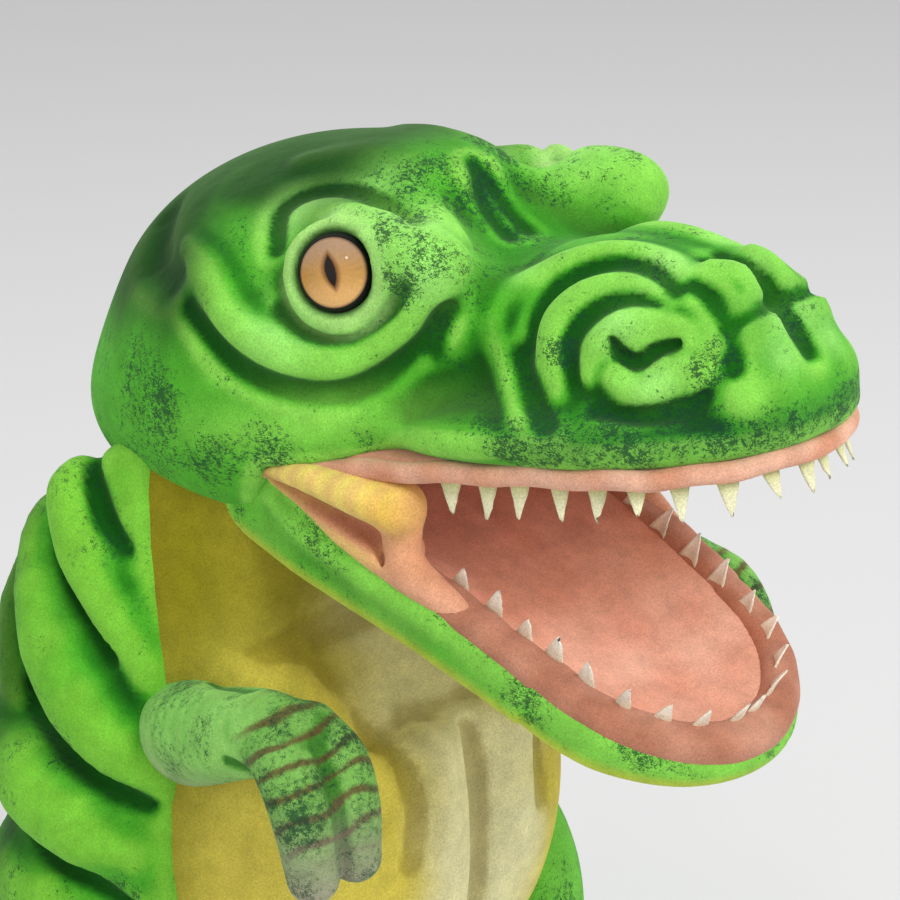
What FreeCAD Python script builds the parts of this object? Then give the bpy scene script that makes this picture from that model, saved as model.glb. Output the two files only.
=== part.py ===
"""Stuffed dinosaur: an upright two-legged plush toy with a big open mouth, sewn from fabric over fibre.

Frame: millimetres, +Z up, the toy faces -Y, its right side is -X. The origin is on the floor, at the
centre of the bounding box. Forward distances ("ahead") are counted from the head's centre, towards -Y.
"""

import FreeCAD, Part  # noqa: E401  FreeCAD has to load first
import math
import os

import Sketcher
from FreeCAD import Placement, Rotation, Vector

# ---------------------------------------------------------------- driving dimensions
SIZES = {
    # where the head, torso and hinge lines are
    "head_y": -77.9,  # the head's centre, along Y
    "head_z": 325.0,  # the head's centre, above the floor
    "head_pitch": 10.0,  # degrees, nose up
    "jaw_pitch": 22.3,  # degrees, chin down, at rest
    "hinge_back": 20.0,  # jaw hinge, behind the head's centre
    "hinge_drop": 30.0,  # and below it
    "torso_back": 50.0,  # torso axis, behind the head's centre
    "neck_ball_z": 175.0,  # centre that the head turns and nods about
    "fabric": 3.0,  # plush: backing and pile together
    "arm_fabric": 2.0,
    "arm_fill_inset": 2.4,  # the arms' fabric and the clearance inside it
    "gap": 0.4,  # clearance between pieces that only touch
    # head
    "cranium_wide": 69.0,
    "cranium_long": 79.0,
    "cranium_tall": 52.0,
    "cranium_back": 17.0,
    "cranium_up": 10.0,
    "snout_wide": 53.0,
    "snout_long": 73.0,
    "snout_tall": 36.0,
    "snout_ahead": 80.0,
    "snout_up": 2.0,
    "lip_drop": 27.0,  # lip plane, below the head's centre
    "lip_thick": 2.2,  # lining and lip trim
    "lip_wide": 6.0,
    "muzzle_top": 4.0,
    "muzzle_rear_half": 66.0,
    "muzzle_rear_ahead": -14.0,
    "muzzle_round_ahead": 98.0,
    "muzzle_round": 54.0,
    "board": 1.6,
    # jaw, measured from the hinge
    "jaw_rear_ahead": 24.0,
    "jaw_rear_half": 62.0,
    "jaw_round_ahead": 122.0,
    "jaw_round": 54.0,
    "jaw_lip_drop": 6.0,
    "jaw_deep": 23.0,  # at the rear
    "jaw_rise": 2.8,  # degrees: the underside rises towards the chin
    "gum_wide": 14.0,
    # teeth
    "tooth_wide": 7.0,
    "tooth_tip": 0.8,
    "tooth_thick": 1.2,
    "upper_tooth_tall": 11.0,
    "lower_tooth_tall": 8.5,
    "strip_tall": 1.6,  # the uncut edge that a row of teeth hangs from
    "upper_strip_inset": 4.2,
    "lower_strip_inset": 12.0,
    "gusset_half": 56.5,
    # neck
    "neck_round": 60.0,
    "neck_middle_z": 225.0,
    "neck_half_tall": 108.0,
    "torso_dome": 68.0,
    "neck_dome": 76.0,
    "throat_ahead": -13.0,
    "throat_ledge_drop": 95.0,
    # torso
    "belly_z": 150.0,
    "belly_round": 72.0,
    "belly_half_tall": 90.0,
    "shoulder_z": 246.0,
    "shoulder_round": 53.5,
    # legs
    "leg_apart": 57.0,  # each leg's middle, from the midplane
    "thigh_back": 30.0,
    "thigh_z": 96.0,
    "thigh_wide": 30.0,
    "thigh_long": 42.0,
    "thigh_tall": 58.0,
    "shank_round": 24.0,
    "shank_back": 34.0,
    "foot_back": 6.0,
    "foot_wide": 30.0,
    "foot_long": 54.0,
    "foot_tall": 31.0,
    "foot_z": 12.0,
    "sole": 2.8,
    # arms
    "arm_round": 16.0,
    "arm_blunt": 9.0,
    "arm_past": 13.0,
    "finger_round": 9.0,
    "finger_blunt": 6.0,
    "finger_past": 8.0,
    "shoulder_half": 74.0,
    "shoulder_back": 45.0,
    "shoulder_drop": 118.0,
    "arm_flat_half": 65.6,  # the arm's flat inner end, from the midplane
    "left_arm_raise": 8.0,  # degrees above the right arm, at rest
    # eyes
    "eye_half": 55.5,
    "eye_ahead": 17.6,
    "eye_up": 34.0,
    "eye_round": 12.0,
    "eye_tall": 5.6,
    "iris_round": 10.2,
    "lens_tall": 5.4,
    "shank_eye": 3.0,
    "shank_eye_long": 16.0,
    "washer_round": 8.0,
    "washer_thick": 1.4,
    "washer_drop": 9.6,
    "cup_floor": 2.0,
    "iris_thick": 0.9,
}

# The tail's round sections, from the torso to the tip: behind the head's centre, height, radius.
TAIL_SECTIONS = [
    (70.0, 101.0, 44.0),
    (130.0, 79.0, 39.5),
    (190.0, 49.0, 31.5),
    (245.0, 23.5, 22.0),
    (290.0, 13.5, 12.5),
    (310.0, 8.5, 6.0),
]
# Arm: wrist and finger ends, as outward from the shoulder, ahead of it and above it.
WRIST = (10.0, 61.0, 14.0)
FINGERS = {
    "outer": ((17.0, 62.0, 11.0), (20.0, 77.0, -26.0)),
    "inner": ((3.0, 67.0, 11.0), (5.0, 82.0, -24.0)),
}
EYE_DIRECTION = (0.90, -0.38, 0.21)  # outwards, along Y and up, in the head's frame
UPPER_TEETH = 20
LOWER_TEETH = 18
SIDES = {"right": -1, "left": 1}

doc = FreeCAD.newDocument("StuffedDinosaur")
sheet = doc.addObject("Spreadsheet::Sheet", "Sizes")
for row, (alias, value) in enumerate(SIZES.items(), start=1):
    sheet.set(f"A{row}", alias)
    sheet.set(f"B{row}", str(value))
    sheet.setAlias(f"B{row}", alias)
doc.recompute()

PARTS = []  # the finished sub-parts, in order


def size(name):
    return float(sheet.get(name))


def cells(formula):
    """A formula over aliases, as FreeCAD writes it: 'head_z - lip_drop' reads the sheet's cells."""
    words = formula.replace("(", " ( ").replace(")", " ) ").split()
    written = " ".join(f"Sizes.{w}" if w in SIZES else w for w in words)
    return written.replace("cos (", "cos(").replace("sin (", "sin(")


def sheet_value(formula):
    """The value of a plain sum or difference of aliases and numbers."""
    total, sign = 0.0, 1.0
    for word in formula.split():
        if word in "+-":
            sign = -1.0 if word == "-" else 1.0
        else:
            total += sign * (size(word) if word in SIZES else float(word))
    return total


def make(kind, name, **formulas):
    """A document object whose properties follow formulas over the sheet's cells. at_x is Placement.Base.x."""
    made = doc.addObject(kind, name)
    for prop, formula in formulas.items():
        path = prop.replace("at_", "Placement.Base.") if prop.startswith("at_") else prop
        made.setExpression(path, cells(formula))
    return made


def ellipsoid(name, wide, long, tall, x="0", y="0", z="0"):
    made = make("Part::Ellipsoid", name, Radius2=wide, Radius3=long, Radius1=tall, at_x=x, at_y=y, at_z=z)
    return made


def cylinder(name, radius, height, x="0", y="0", z="0"):
    return make("Part::Cylinder", name, Radius=radius, Height=height, at_x=x, at_y=y, at_z=z)


def sphere(name, radius, x="0", y="0", z="0"):
    return make("Part::Sphere", name, Radius=radius, at_x=x, at_y=y, at_z=z)


def block(name, low, high):
    """A box between two corners, each three formulas."""
    return make(
        "Part::Box",
        name,
        Length=f"( {high[0]} ) - ( {low[0]} )",
        Width=f"( {high[1]} ) - ( {low[1]} )",
        Height=f"( {high[2]} ) - ( {low[2]} )",
        at_x=low[0],
        at_y=low[1],
        at_z=low[2],
    )


def fuse(name, *pieces):
    made = doc.addObject("Part::MultiFuse", name)
    made.Shapes = list(pieces)
    return made


def group(name, *pieces):
    made = doc.addObject("Part::Compound", name)
    made.Links = list(pieces)
    return made


def cut(name, base, *tools):
    for i, tool in enumerate(tools):
        made = doc.addObject("Part::Cut", name if i == len(tools) - 1 else f"{name}_step{i}")
        made.Base, made.Tool = base, tool
        base = made
    return base


def common(name, *pieces):
    made = doc.addObject("Part::MultiCommon", name)
    made.Shapes = list(pieces)
    return made


def finish(made, label, placement=None):
    """Names a sub-part, and puts it where its frame is."""
    made.Label = label
    if placement is not None:
        made.Placement = placement
    PARTS.append(made)
    return made


def turned(made, axis, angle, y, z):
    """Tips an object about a sideways axis and stands it at a height and depth, all following the sheet."""
    made.Placement = Placement(Vector(0, 0, 0), Rotation(Vector(axis, 0, 0), 10))
    for path, formula in (("Base.y", y), ("Base.z", z), ("Rotation.Angle", angle)):
        made.setExpression(f"Placement.{path}", cells(formula))
    return made


def u_plate(name, rear_half, rear, centre, radius, inset, low, high):
    """A flat plate with a rounded front, like the outline of a mouth: a tapered block and a round end."""
    wedge = make(
        "Part::Wedge",
        f"{name}_block",
        Xmin=f"( {inset} ) - {radius}",
        Xmax=f"{radius} - ( {inset} )",
        X2min=f"( {inset} ) - {rear_half}",
        X2max=f"{rear_half} - ( {inset} )",
        Ymin=f"0 - {centre}",
        Ymax=f"0 - {rear}",
        Zmin=low,
        Z2min=low,
        Zmax=high,
        Z2max=high,
    )
    tall = f"( {high} ) - ( {low} )"
    nose = cylinder(f"{name}_nose", f"{radius} - ( {inset} )", tall, y=f"0 - {centre}", z=low)
    return fuse(name, wedge, nose)


def upper_plate(name, inset, low, high, rear="muzzle_rear_ahead"):
    return u_plate(name, "muzzle_rear_half", rear, "muzzle_round_ahead", "muzzle_round", inset, low, high)


def lower_plate(name, inset, low, high, rear="jaw_rear_ahead"):
    return u_plate(name, "jaw_rear_half", rear, "jaw_round_ahead", "jaw_round", inset, low, high)


# ---------------------------------------------------------------- the moving frames
HEAD = Placement(Vector(0, size("head_y"), size("head_z")), Rotation(Vector(1, 0, 0), -size("head_pitch")))
TORSO_Y = "head_y + torso_back"


def in_head(made, label):
    return finish(turned(made, -1, "head_pitch", "head_y", "head_z"), label)


def in_jaw(made, label):
    return finish(turned(made, 1, "jaw_pitch", "head_y + hinge_back", "head_z - hinge_drop"), label)


# ---------------------------------------------------------------- eyes
def eye_place(side):
    """The eye's seat in the head's frame, its own +Z pointing out."""
    out, ahead, up = EYE_DIRECTION
    seat = Vector(side * size("eye_half"), -size("eye_ahead"), size("eye_up"))
    return Placement(seat, Rotation(Vector(0, 0, 1), Vector(side * out, ahead, up)))


def half_section(body, name, points):
    """A closed sketch on the body's XZ plane, from (radius, height) formulas, each held by a named length."""
    sketch = body.newObject("Sketcher::SketchObject", name)
    plane = [f for f in body.Origin.OriginFeatures if f.Role == "XZ_Plane"][0]
    sketch.AttachmentSupport = [(plane, "")]
    sketch.MapMode = "FlatFace"
    corners = [Vector(sheet_value(r), sheet_value(h), 0) for r, h in points]
    for i, corner in enumerate(corners):
        sketch.addGeometry(Part.LineSegment(corner, corners[(i + 1) % len(corners)]), False)
    for i in range(len(corners)):
        sketch.addConstraint(Sketcher.Constraint("Coincident", i, 2, (i + 1) % len(corners), 1))
    for i, corner in enumerate(corners):
        for axis, value, formula in (("X", corner.x, points[i][0]), ("Y", corner.y, points[i][1])):
            index = sketch.addConstraint(Sketcher.Constraint(f"Distance{axis}", -1, 1, i, 1, value))
            sketch.renameConstraint(index, f"corner{i}{axis}")
            if formula != "0":
                sketch.setExpression(f"Constraints.corner{i}{axis}", cells(formula))
    return sketch


def revolved(name, points):
    """A turned piece: its half section, taken round the Z axis."""
    body = doc.addObject("PartDesign::Body", name)
    sketch = half_section(body, f"{name}_section", points)
    turn = body.newObject("PartDesign::Revolution", f"{name}_turn")
    turn.Profile = sketch
    turn.ReferenceAxis = (sketch, ["V_Axis"])
    turn.Angle = 360.0
    body.Tip = turn
    return body


def build_eyes():
    """Each eye: a black cup with its shank, a painted iris, a clear dome, and the washer on the shank."""
    for side_name, side in SIDES.items():
        place = HEAD * eye_place(side)
        n = f"{side_name}_eye"
        cup = revolved(
            f"{n}_turned",
            [
                ("0", "0 - shank_eye_long"),
                ("shank_eye", "0 - shank_eye_long"),
                ("shank_eye", "0"),
                ("eye_round", "0"),
                ("eye_round", "eye_tall - 1.5"),
                ("eye_round - 1", "eye_tall"),
                ("iris_round + 0.1", "eye_tall"),
                ("iris_round + 0.1", "cup_floor"),
                ("0", "cup_floor"),
            ],
        )
        finish(cup, f"{n}_cup", place)
        paint = cylinder(f"{n}_paint", "iris_round", "iris_thick", z="cup_floor + 0.05")
        finish(group(f"{n}_painted", paint), f"{n}_iris", place)
        base = "cup_floor + iris_thick + 0.15"
        curve = "( iris_round * iris_round + lens_tall * lens_tall ) / ( 2 * lens_tall )"
        ball = sphere(f"{n}_ball", curve, z=f"{base} + lens_tall - {curve}")
        slab = cylinder(f"{n}_slab", "iris_round", "lens_tall", z=base)
        finish(common(f"{n}_dome", ball, slab), f"{n}_lens", place)
        disc = cylinder(f"{n}_disc", "washer_round", "washer_thick", z="0 - washer_drop - washer_thick")
        bore = cylinder(f"{n}_bore", "shank_eye + 0.05", "10", z="0 - washer_drop - 5")
        finish(cut(f"{n}_ring", disc, bore), f"{n}_washer", place)


def eye_tools(name, clearance, washer):
    """What the eyes take out of a shell or its filling, in the head's frame."""
    tools = []
    for side_name, side in SIDES.items():
        place = eye_place(side)
        reach = 40.0
        pieces = [(f"eye_round + {clearance}", reach, 0.0), (f"shank_eye + {clearance}", reach, 1.0 - reach)]
        if washer:
            room = size("washer_thick") + 2.0
            pieces.append((f"washer_round + {clearance}", room, -size("washer_drop") - 2.4))
        for i, (radius, height, low) in enumerate(pieces):
            tool = make("Part::Cylinder", f"{name}_{side_name}{i}", Radius=radius, Height=f"{height}")
            tool.Placement = place * Placement(Vector(0, 0, low), Rotation())
            tools.append(tool)
    return tools


# ---------------------------------------------------------------- head
def head_form(name, inset, low):
    """The head without its jaw: cranium, snout and muzzle, down to a flat underside."""
    cranium = ellipsoid(
        f"{name}_cranium",
        f"cranium_wide - {inset}",
        f"cranium_long - {inset}",
        f"cranium_tall - {inset}",
        y="cranium_back",
        z="cranium_up",
    )
    snout = ellipsoid(
        f"{name}_snout",
        f"snout_wide - {inset}",
        f"snout_long - {inset}",
        f"snout_tall - {inset}",
        y="0 - snout_ahead",
        z="snout_up",
    )
    muzzle = upper_plate(f"{name}_muzzle", inset, f"{low} - 8", f"muzzle_top - {inset}")
    above = block(f"{name}_above", ("-200", "-200", low), ("200", "200", "200"))
    return common(name, fuse(f"{name}_mass", cranium, snout, muzzle), above)


def build_head():
    lip_top = "lip_thick + 0.2 - lip_drop"
    board_low = "lip_thick + 0.6 - lip_drop"
    fill_low = "lip_thick + 1 + board - lip_drop"
    outer = head_form("head_outer", "0", lip_top)
    inner = head_form("head_inner", "fabric", "0 - lip_drop")
    in_head(cut("head_shell", outer, inner, *eye_tools("shell_eye", "0.1", False)), "head_skin")
    filling = head_form("head_filling", "( fabric + gap )", fill_low)
    in_head(cut("head_fill", filling, *eye_tools("fill_eye", "gap", True)), "head_stuffing")
    in_head(upper_plate("palate_stiffener", "fabric + 1", board_low, f"{board_low} + board"), "palate_board")
    palate = upper_plate("palate_sheet", "lip_wide + 1.2", "0 - lip_drop", "lip_thick - lip_drop")
    in_head(palate, "palate_lining")
    band = upper_plate("lip_outer", "0", "0 - lip_drop", "lip_thick - lip_drop")
    hollow = upper_plate("lip_inner", "lip_wide", "0 - lip_drop - 5", "0", rear="( muzzle_rear_ahead - 9 )")
    in_head(cut("lip_band", band, hollow), "upper_lip_trim")
    build_eyes()


# ---------------------------------------------------------------- teeth
def along_u(rear_half, rear, centre, radius, inset, share):
    """The point and outward direction at a share, 0 to 1, of the way along one side of a mouth outline."""
    side_length = math.hypot(centre - rear, rear_half - radius)
    front_length = math.pi / 2 * (radius - inset)
    reach = share * (side_length + front_length)
    if reach < side_length:
        part = reach / side_length
        lean = math.atan2(rear_half - radius, centre - rear)
        point = Vector(rear_half - inset + (radius - rear_half) * part, -(rear + (centre - rear) * part), 0)
        return point, Vector(math.cos(lean), -math.sin(lean), 0)
    turn = (reach - side_length) / (radius - inset)
    outward = Vector(math.cos(turn), -math.sin(turn), 0)
    return Vector(0, -centre, 0) + outward * (radius - inset), outward


def tooth(name, point, outward, tall, up):
    """A felt triangle standing on the outline, its flat side out; up is 1, or -1 for a hanging tooth."""
    made = make(
        "Part::Wedge",
        name,
        Xmin="0 - tooth_wide / 2",
        Xmax="tooth_wide / 2",
        X2min="0 - tooth_tip / 2",
        X2max="tooth_tip / 2",
        Ymin="0",
        Ymax=tall,
        Zmin="0 - tooth_thick / 2",
        Z2min="0 - tooth_thick / 2",
        Zmax="tooth_thick / 2",
        Z2max="tooth_thick / 2",
    )
    rise = Vector(0, 0, up)
    made.Placement = Placement(point, Rotation(rise.cross(outward), rise, outward, "ZXY"))
    return made


def tooth_strip(name, plate, outline, teeth, shares, inset, tall, up, root):
    """A row of teeth cut from one strip: evenly spaced teeth on both sides of the mouth, on a low band."""
    rear_half, rear, centre, radius = (size(alias) for alias in outline)
    first, last = shares
    pieces = []
    for i in range(teeth // 2):
        share = first + (last - first) * i / (teeth // 2 - 1)
        point, outward = along_u(rear_half, rear, centre, radius, size(inset), share)
        for side_name, side in SIDES.items():
            at = Vector(side * point.x, point.y, sheet_value(root))
            out = Vector(side * outward.x, outward.y, 0)
            pieces.append(tooth(f"{name}_{side_name}{i}", at, out, tall, up))
    low, high = (root, f"{root} + strip_tall") if up > 0 else (f"{root} - strip_tall", root)
    half = "tooth_thick / 2"
    outer = plate(f"{name}_out", f"{inset} - {half}", low, high)
    behind = f"( {outline[1]} - 9 )"
    inner = plate(f"{name}_in", f"{inset} + {half}", f"{low} - 1", f"{high} + 1", rear=behind)
    kept = block(f"{name}_kept", ("-200", "-300", "-100"), ("200", "-44", "100"))
    band = common(f"{name}_band", cut(f"{name}_ring", outer, inner), kept)
    return fuse(f"{name}_row", band, *pieces)


def build_teeth():
    upper = ("muzzle_rear_half", "muzzle_rear_ahead", "muzzle_round_ahead", "muzzle_round")
    lower = ("jaw_rear_half", "jaw_rear_ahead", "jaw_round_ahead", "jaw_round")
    hang = ("upper_strip_inset", "upper_tooth_tall", -1, "0 - lip_drop - 0.05")
    stand = ("lower_strip_inset", "lower_tooth_tall", 1, "0.05")
    in_head(tooth_strip("upper", upper_plate, upper, UPPER_TEETH, (0.327, 0.968), *hang), "upper_teeth")
    in_jaw(tooth_strip("lower", lower_plate, lower, LOWER_TEETH, (0.305, 0.955), *stand), "lower_teeth")


# ---------------------------------------------------------------- jaw
def slant_block(name, inset):
    """Everything above the jaw's underside, which rises towards the chin."""
    made = make("Part::Box", name, Length="400", Width="400", Height="200", at_x="-200")
    made.Placement = Placement(Vector(-200, 0, 0), Rotation(Vector(-1, 0, 0), 5))
    made.setExpression("Placement.Rotation.Angle", cells("jaw_rise"))
    made.setExpression("Placement.Base.y", cells("-300 * cos( jaw_rise )"))
    made.setExpression("Placement.Base.z", cells(f"{inset} - jaw_deep + 300 * sin( jaw_rise )"))
    return made


def jaw_form(name, inset, top, rear="jaw_rear_ahead"):
    """The jaw's tray: the mouth outline, down to the slanting underside."""
    plate = lower_plate(f"{name}_plate", inset, "-60", top, rear=rear)
    return common(name, plate, slant_block(f"{name}_above", inset))


def build_jaw():
    """A shallow tray of plush over foam: green sides, yellow underside, pink gum roll and lining on top."""
    fill, rear = "( fabric + gap )", "( jaw_rear_ahead + fabric + gap )"
    whole = jaw_form("jaw_whole", "0", "0 - jaw_lip_drop")
    hollow = jaw_form("jaw_hollow", "fabric", "0", rear="( jaw_rear_ahead + fabric )")
    split = slant_block("chin_split", "fabric")
    in_jaw(common("jaw_sides", cut("jaw_tray", whole, hollow), split), "jaw_skin")
    in_jaw(cut("chin_sheet", whole, split), "chin_panel")
    in_jaw(jaw_form("jaw_core", fill, "-10.2", rear=rear), "jaw_foam")
    in_jaw(lower_plate("jaw_stiffener", fill, "-9.8", "-9.8 + board", rear=rear), "jaw_board")
    in_jaw(lower_plate("floor_sheet", "gum_wide + gap", "-7.8", "-5.8", rear=rear), "mouth_floor_lining")
    roll = lower_plate("gum_outer", "0.3", "0.2 - jaw_lip_drop", "0")
    centre = lower_plate("gum_inner", "gum_wide", "-12", "12", rear="( jaw_rear_ahead - 9 )")
    in_jaw(cut("gum_ring", roll, centre), "lower_gum_roll")


def build_mouth_corners():
    """The fabric that joins both jaws: a gusset at each corner and the throat lining between them."""
    below_lip = block("lip_block", ("-200", "-200", "-400"), ("200", "200", "0 - lip_drop - 1"))
    under_lip = group("under_lip", below_lip)
    turned(under_lip, -1, "head_pitch", "head_y", "head_z")
    over_gum = group("over_gum", block("gum_block", ("-200", "-300", "1.2"), ("200", "100", "400")))
    turned(over_gum, 1, "jaw_pitch", "head_y + hinge_back", "head_z - hinge_drop")
    between = common("between_jaws", under_lip, over_gum)
    for side_name, side in SIDES.items():
        near, far = "gusset_half", "gusset_half + 2.4"
        if side < 0:
            near, far = "0 - gusset_half - 2.4", "0 - gusset_half"
        sheet_of = block(f"{side_name}_gusset", (near, "head_y - 42", "100"), (far, "head_y - 2", "400"))
        finish(common(f"{side_name}_corner", sheet_of, between), f"{side_name}_cheek_gusset")
    near, far = ("1 - gusset_half", "head_y - 5.6", "100"), ("gusset_half - 1", "head_y - 4", "400")
    back = block("throat_sheet", near, far)
    finish(common("throat_corner", back, between), "throat_lining")


# ---------------------------------------------------------------- neck
def neck_column(name, inset, dome):
    """The neck under the head: a rounded column on the ball that it moves on, set back behind the jaw."""
    column = ellipsoid(
        f"{name}_column",
        f"neck_round - {inset}",
        f"neck_round - {inset}",
        f"neck_half_tall - {inset}",
        y=TORSO_Y,
        z="neck_middle_z",
    )
    ball = sphere(f"{name}_ball", dome, y=TORSO_Y, z="neck_ball_z")
    below = block(f"{name}_below", ("-200", "-300", "-50"), ("200", "300", "neck_ball_z"))
    front = block(
        f"{name}_front",
        ("-200", "-300", f"head_z - throat_ledge_drop - {inset}"),
        ("200", f"head_y - throat_ahead + {inset}", "head_z + 50"),
    )
    over = block(f"{name}_over", ("-200", "-200", "0 - lip_drop - 0.3"), ("200", "200", "200"))
    over = turned(group(f"{name}_under_head", over), -1, "head_pitch", "head_y", "head_z")
    return cut(name, column, ball, below, front, over)


def build_neck():
    outer = neck_column("neck_outer", "0", "neck_dome")
    shell = cut("neck_shell", outer, neck_column("neck_inner", "fabric", "10"))
    behind = block("nape_block", ("-200", TORSO_Y, "-50"), ("200", "300", "500"))
    before = block("throat_block", ("-200", "-300", "-50"), ("200", TORSO_Y, "500"))
    finish(common("nape_half", shell, behind), "nape_skin")
    finish(common("throat_half", shell, before), "throat_panel")
    finish(neck_column("neck_fill", "( fabric + gap )", "neck_dome"), "neck_stuffing")
    pad = common(
        "pad_round",
        sphere("pad_over", "neck_dome - gap", y=TORSO_Y, z="neck_ball_z"),
        cylinder("pad_edge", "neck_round - fabric - gap", "200", y=TORSO_Y, z="neck_ball_z"),
    )
    under = sphere("pad_under", "torso_dome + gap", y=TORSO_Y, z="neck_ball_z")
    finish(cut("pad", pad, under), "neck_base_stuffing")


# ---------------------------------------------------------------- torso
def torso_form(name, inset, domed=True):
    """Belly and chest, round about a vertical axis, with a ball-shaped top for the neck."""
    belly = ellipsoid(
        f"{name}_belly",
        f"belly_round - {inset}",
        f"belly_round - {inset}",
        f"belly_half_tall - {inset}",
        y=TORSO_Y,
        z="belly_z",
    )
    chest = make(
        "Part::Cone",
        f"{name}_chest",
        Radius1=f"belly_round - {inset}",
        Radius2=f"shoulder_round - {inset}",
        Height="shoulder_z - belly_z",
        at_y=TORSO_Y,
        at_z="belly_z",
    )
    mass = fuse(f"{name}_mass", belly, chest)
    if not domed:
        return mass
    lid = cylinder(f"{name}_lid", "120", "200", y=TORSO_Y, z="neck_ball_z")
    ball = sphere(f"{name}_ball", "torso_dome", y=TORSO_Y, z="neck_ball_z")
    return cut(name, mass, cut(f"{name}_top", lid, ball))


def build_torso():
    for label, low, high in (
        ("back_skin", ("-200", TORSO_Y, "-50"), ("200", "300", "500")),
        ("belly_panel", ("-200", "-300", "-50"), ("200", TORSO_Y, "500")),
    ):
        outer, inner = torso_form(f"{label}_outer", "0"), torso_form(f"{label}_inner", "fabric", False)
        shell = cut(f"{label}_shell", outer, inner)
        finish(common(f"{label}_half", shell, block(f"{label}_block", low, high)), label)
    finish(torso_form("torso_filling", "( fabric + gap )"), "torso_stuffing")


# ---------------------------------------------------------------- legs
def leg_form(name, side, inset, low):
    """Thigh, shank and foot of one leg, down to a flat cut."""
    x = f"{side} * leg_apart"
    thigh = ellipsoid(
        f"{name}_thigh",
        f"thigh_wide - {inset}",
        f"thigh_long - {inset}",
        f"thigh_tall - {inset}",
        x=x,
        y="head_y + thigh_back",
        z="thigh_z",
    )
    shank = cylinder(f"{name}_shank", f"shank_round - {inset}", "60", x=x, y="head_y + shank_back", z="14")
    foot = ellipsoid(
        f"{name}_foot",
        f"foot_wide - {inset}",
        f"foot_long - {inset}",
        f"foot_tall - {inset}",
        x=x,
        y="head_y + foot_back",
        z="foot_z",
    )
    above = block(f"{name}_above", ("-200", "-300", low), ("200", "300", "300"))
    return common(name, fuse(f"{name}_mass", thigh, shank, foot), above)


def build_legs():
    for side_name, side in SIDES.items():
        n = f"{side_name}_leg"
        low = "sole + 0.2"
        outer, inner = leg_form(f"{n}_outer", side, "0", low), leg_form(f"{n}_inner", side, "fabric", "-5")
        shell = cut(f"{n}_shell", outer, inner)
        finish(cut(f"{n}_cloth", shell, torso_form(f"{n}_clear", "( 0 - gap )", False)), f"{n}_skin")
        filling = leg_form(f"{n}_filling", side, "( fabric + gap )", "sole + 0.8 + board")
        finish(cut(f"{n}_fill", filling, torso_form(f"{n}_room", "( 0 - gap )", False)), f"{n}_stuffing")
        for label, inset, low_z, high_z in (
            (f"{side_name}_sole", "0.5", "0", "sole"),
            (f"{side_name}_sole_board", "( fabric + 1 )", "sole + 0.4", "sole + 0.4 + board"),
        ):
            slab = block(f"{label}_slab", ("-200", "-300", low_z), ("200", "300", high_z))
            foot = ellipsoid(
                f"{label}_foot",
                f"foot_wide - {inset}",
                f"foot_long - {inset}",
                f"foot_tall - {inset}",
                x=f"{side} * leg_apart",
                y="head_y + foot_back",
                z="foot_z",
            )
            finish(common(f"{label}_plate", foot, slab), label)


# ---------------------------------------------------------------- tail
def tail_body(name, inset):
    """The tail as one loft through its round sections."""
    body = doc.addObject("PartDesign::Body", name)
    plane = [f for f in body.Origin.OriginFeatures if f.Role == "XZ_Plane"][0]
    sketches = []
    for i, (back, height, radius) in enumerate(TAIL_SECTIONS):
        sketch = body.newObject("Sketcher::SketchObject", f"{name}_section{i}")
        sketch.AttachmentSupport = [(plane, "")]
        sketch.MapMode = "FlatFace"
        shorter = inset if i == len(TAIL_SECTIONS) - 1 else 0.0
        sketch.AttachmentOffset = Placement(Vector(0, 0, -(size("head_y") + back - shorter)), Rotation())
        sketch.addGeometry(Part.Circle(Vector(0, height, 0), Vector(0, 0, 1), radius - inset), False)
        sketch.addConstraint(Sketcher.Constraint("Radius", 0, radius - inset))
        sketch.addConstraint(Sketcher.Constraint("DistanceX", -1, 1, 0, 3, 0.0))
        sketch.addConstraint(Sketcher.Constraint("DistanceY", -1, 1, 0, 3, height))
        sketches.append(sketch)
    loft = body.newObject("PartDesign::AdditiveLoft", f"{name}_loft")
    loft.Profile = sketches[0]
    loft.Sections = sketches[1:]
    body.Tip = loft
    return body


def build_tail():
    outer, inner = tail_body("tail_outer", 0.0), tail_body("tail_inner", size("fabric"))
    shell = cut("tail_shell", outer, inner, torso_form("tail_clear", "( 0 - gap )", False))
    finish(shell, "tail_skin")
    fibre = tail_body("tail_filling", size("fabric") + size("gap"))
    filling = cut("tail_fill", fibre, torso_form("tail_room", "( 0 - gap )", False))
    finish(filling, "tail_stuffing")


# ---------------------------------------------------------------- arms
def limb(name, start, end, kind, inset):
    """A turned bar with tapered ends between two points, ending a little past them."""
    line = end - start
    middle = round(line.Length / 2, 3)
    low, high = f"0 - {middle} - {kind}_past + {inset}", f"{middle} + {kind}_past - {inset}"
    thick, blunt = f"{kind}_round - {inset}", f"{kind}_blunt - {inset}"
    profile = [
        ("0", low),
        (blunt, low),
        (thick, f"{low} + {kind}_round - {kind}_blunt"),
        (thick, f"{high} + {kind}_blunt - {kind}_round"),
        (blunt, high),
        ("0", high),
    ]
    made = group(name, revolved(f"{name}_bar", profile))
    made.Placement = Placement((start + end) / 2, Rotation(Vector(0, 0, 1), line))
    return made


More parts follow.
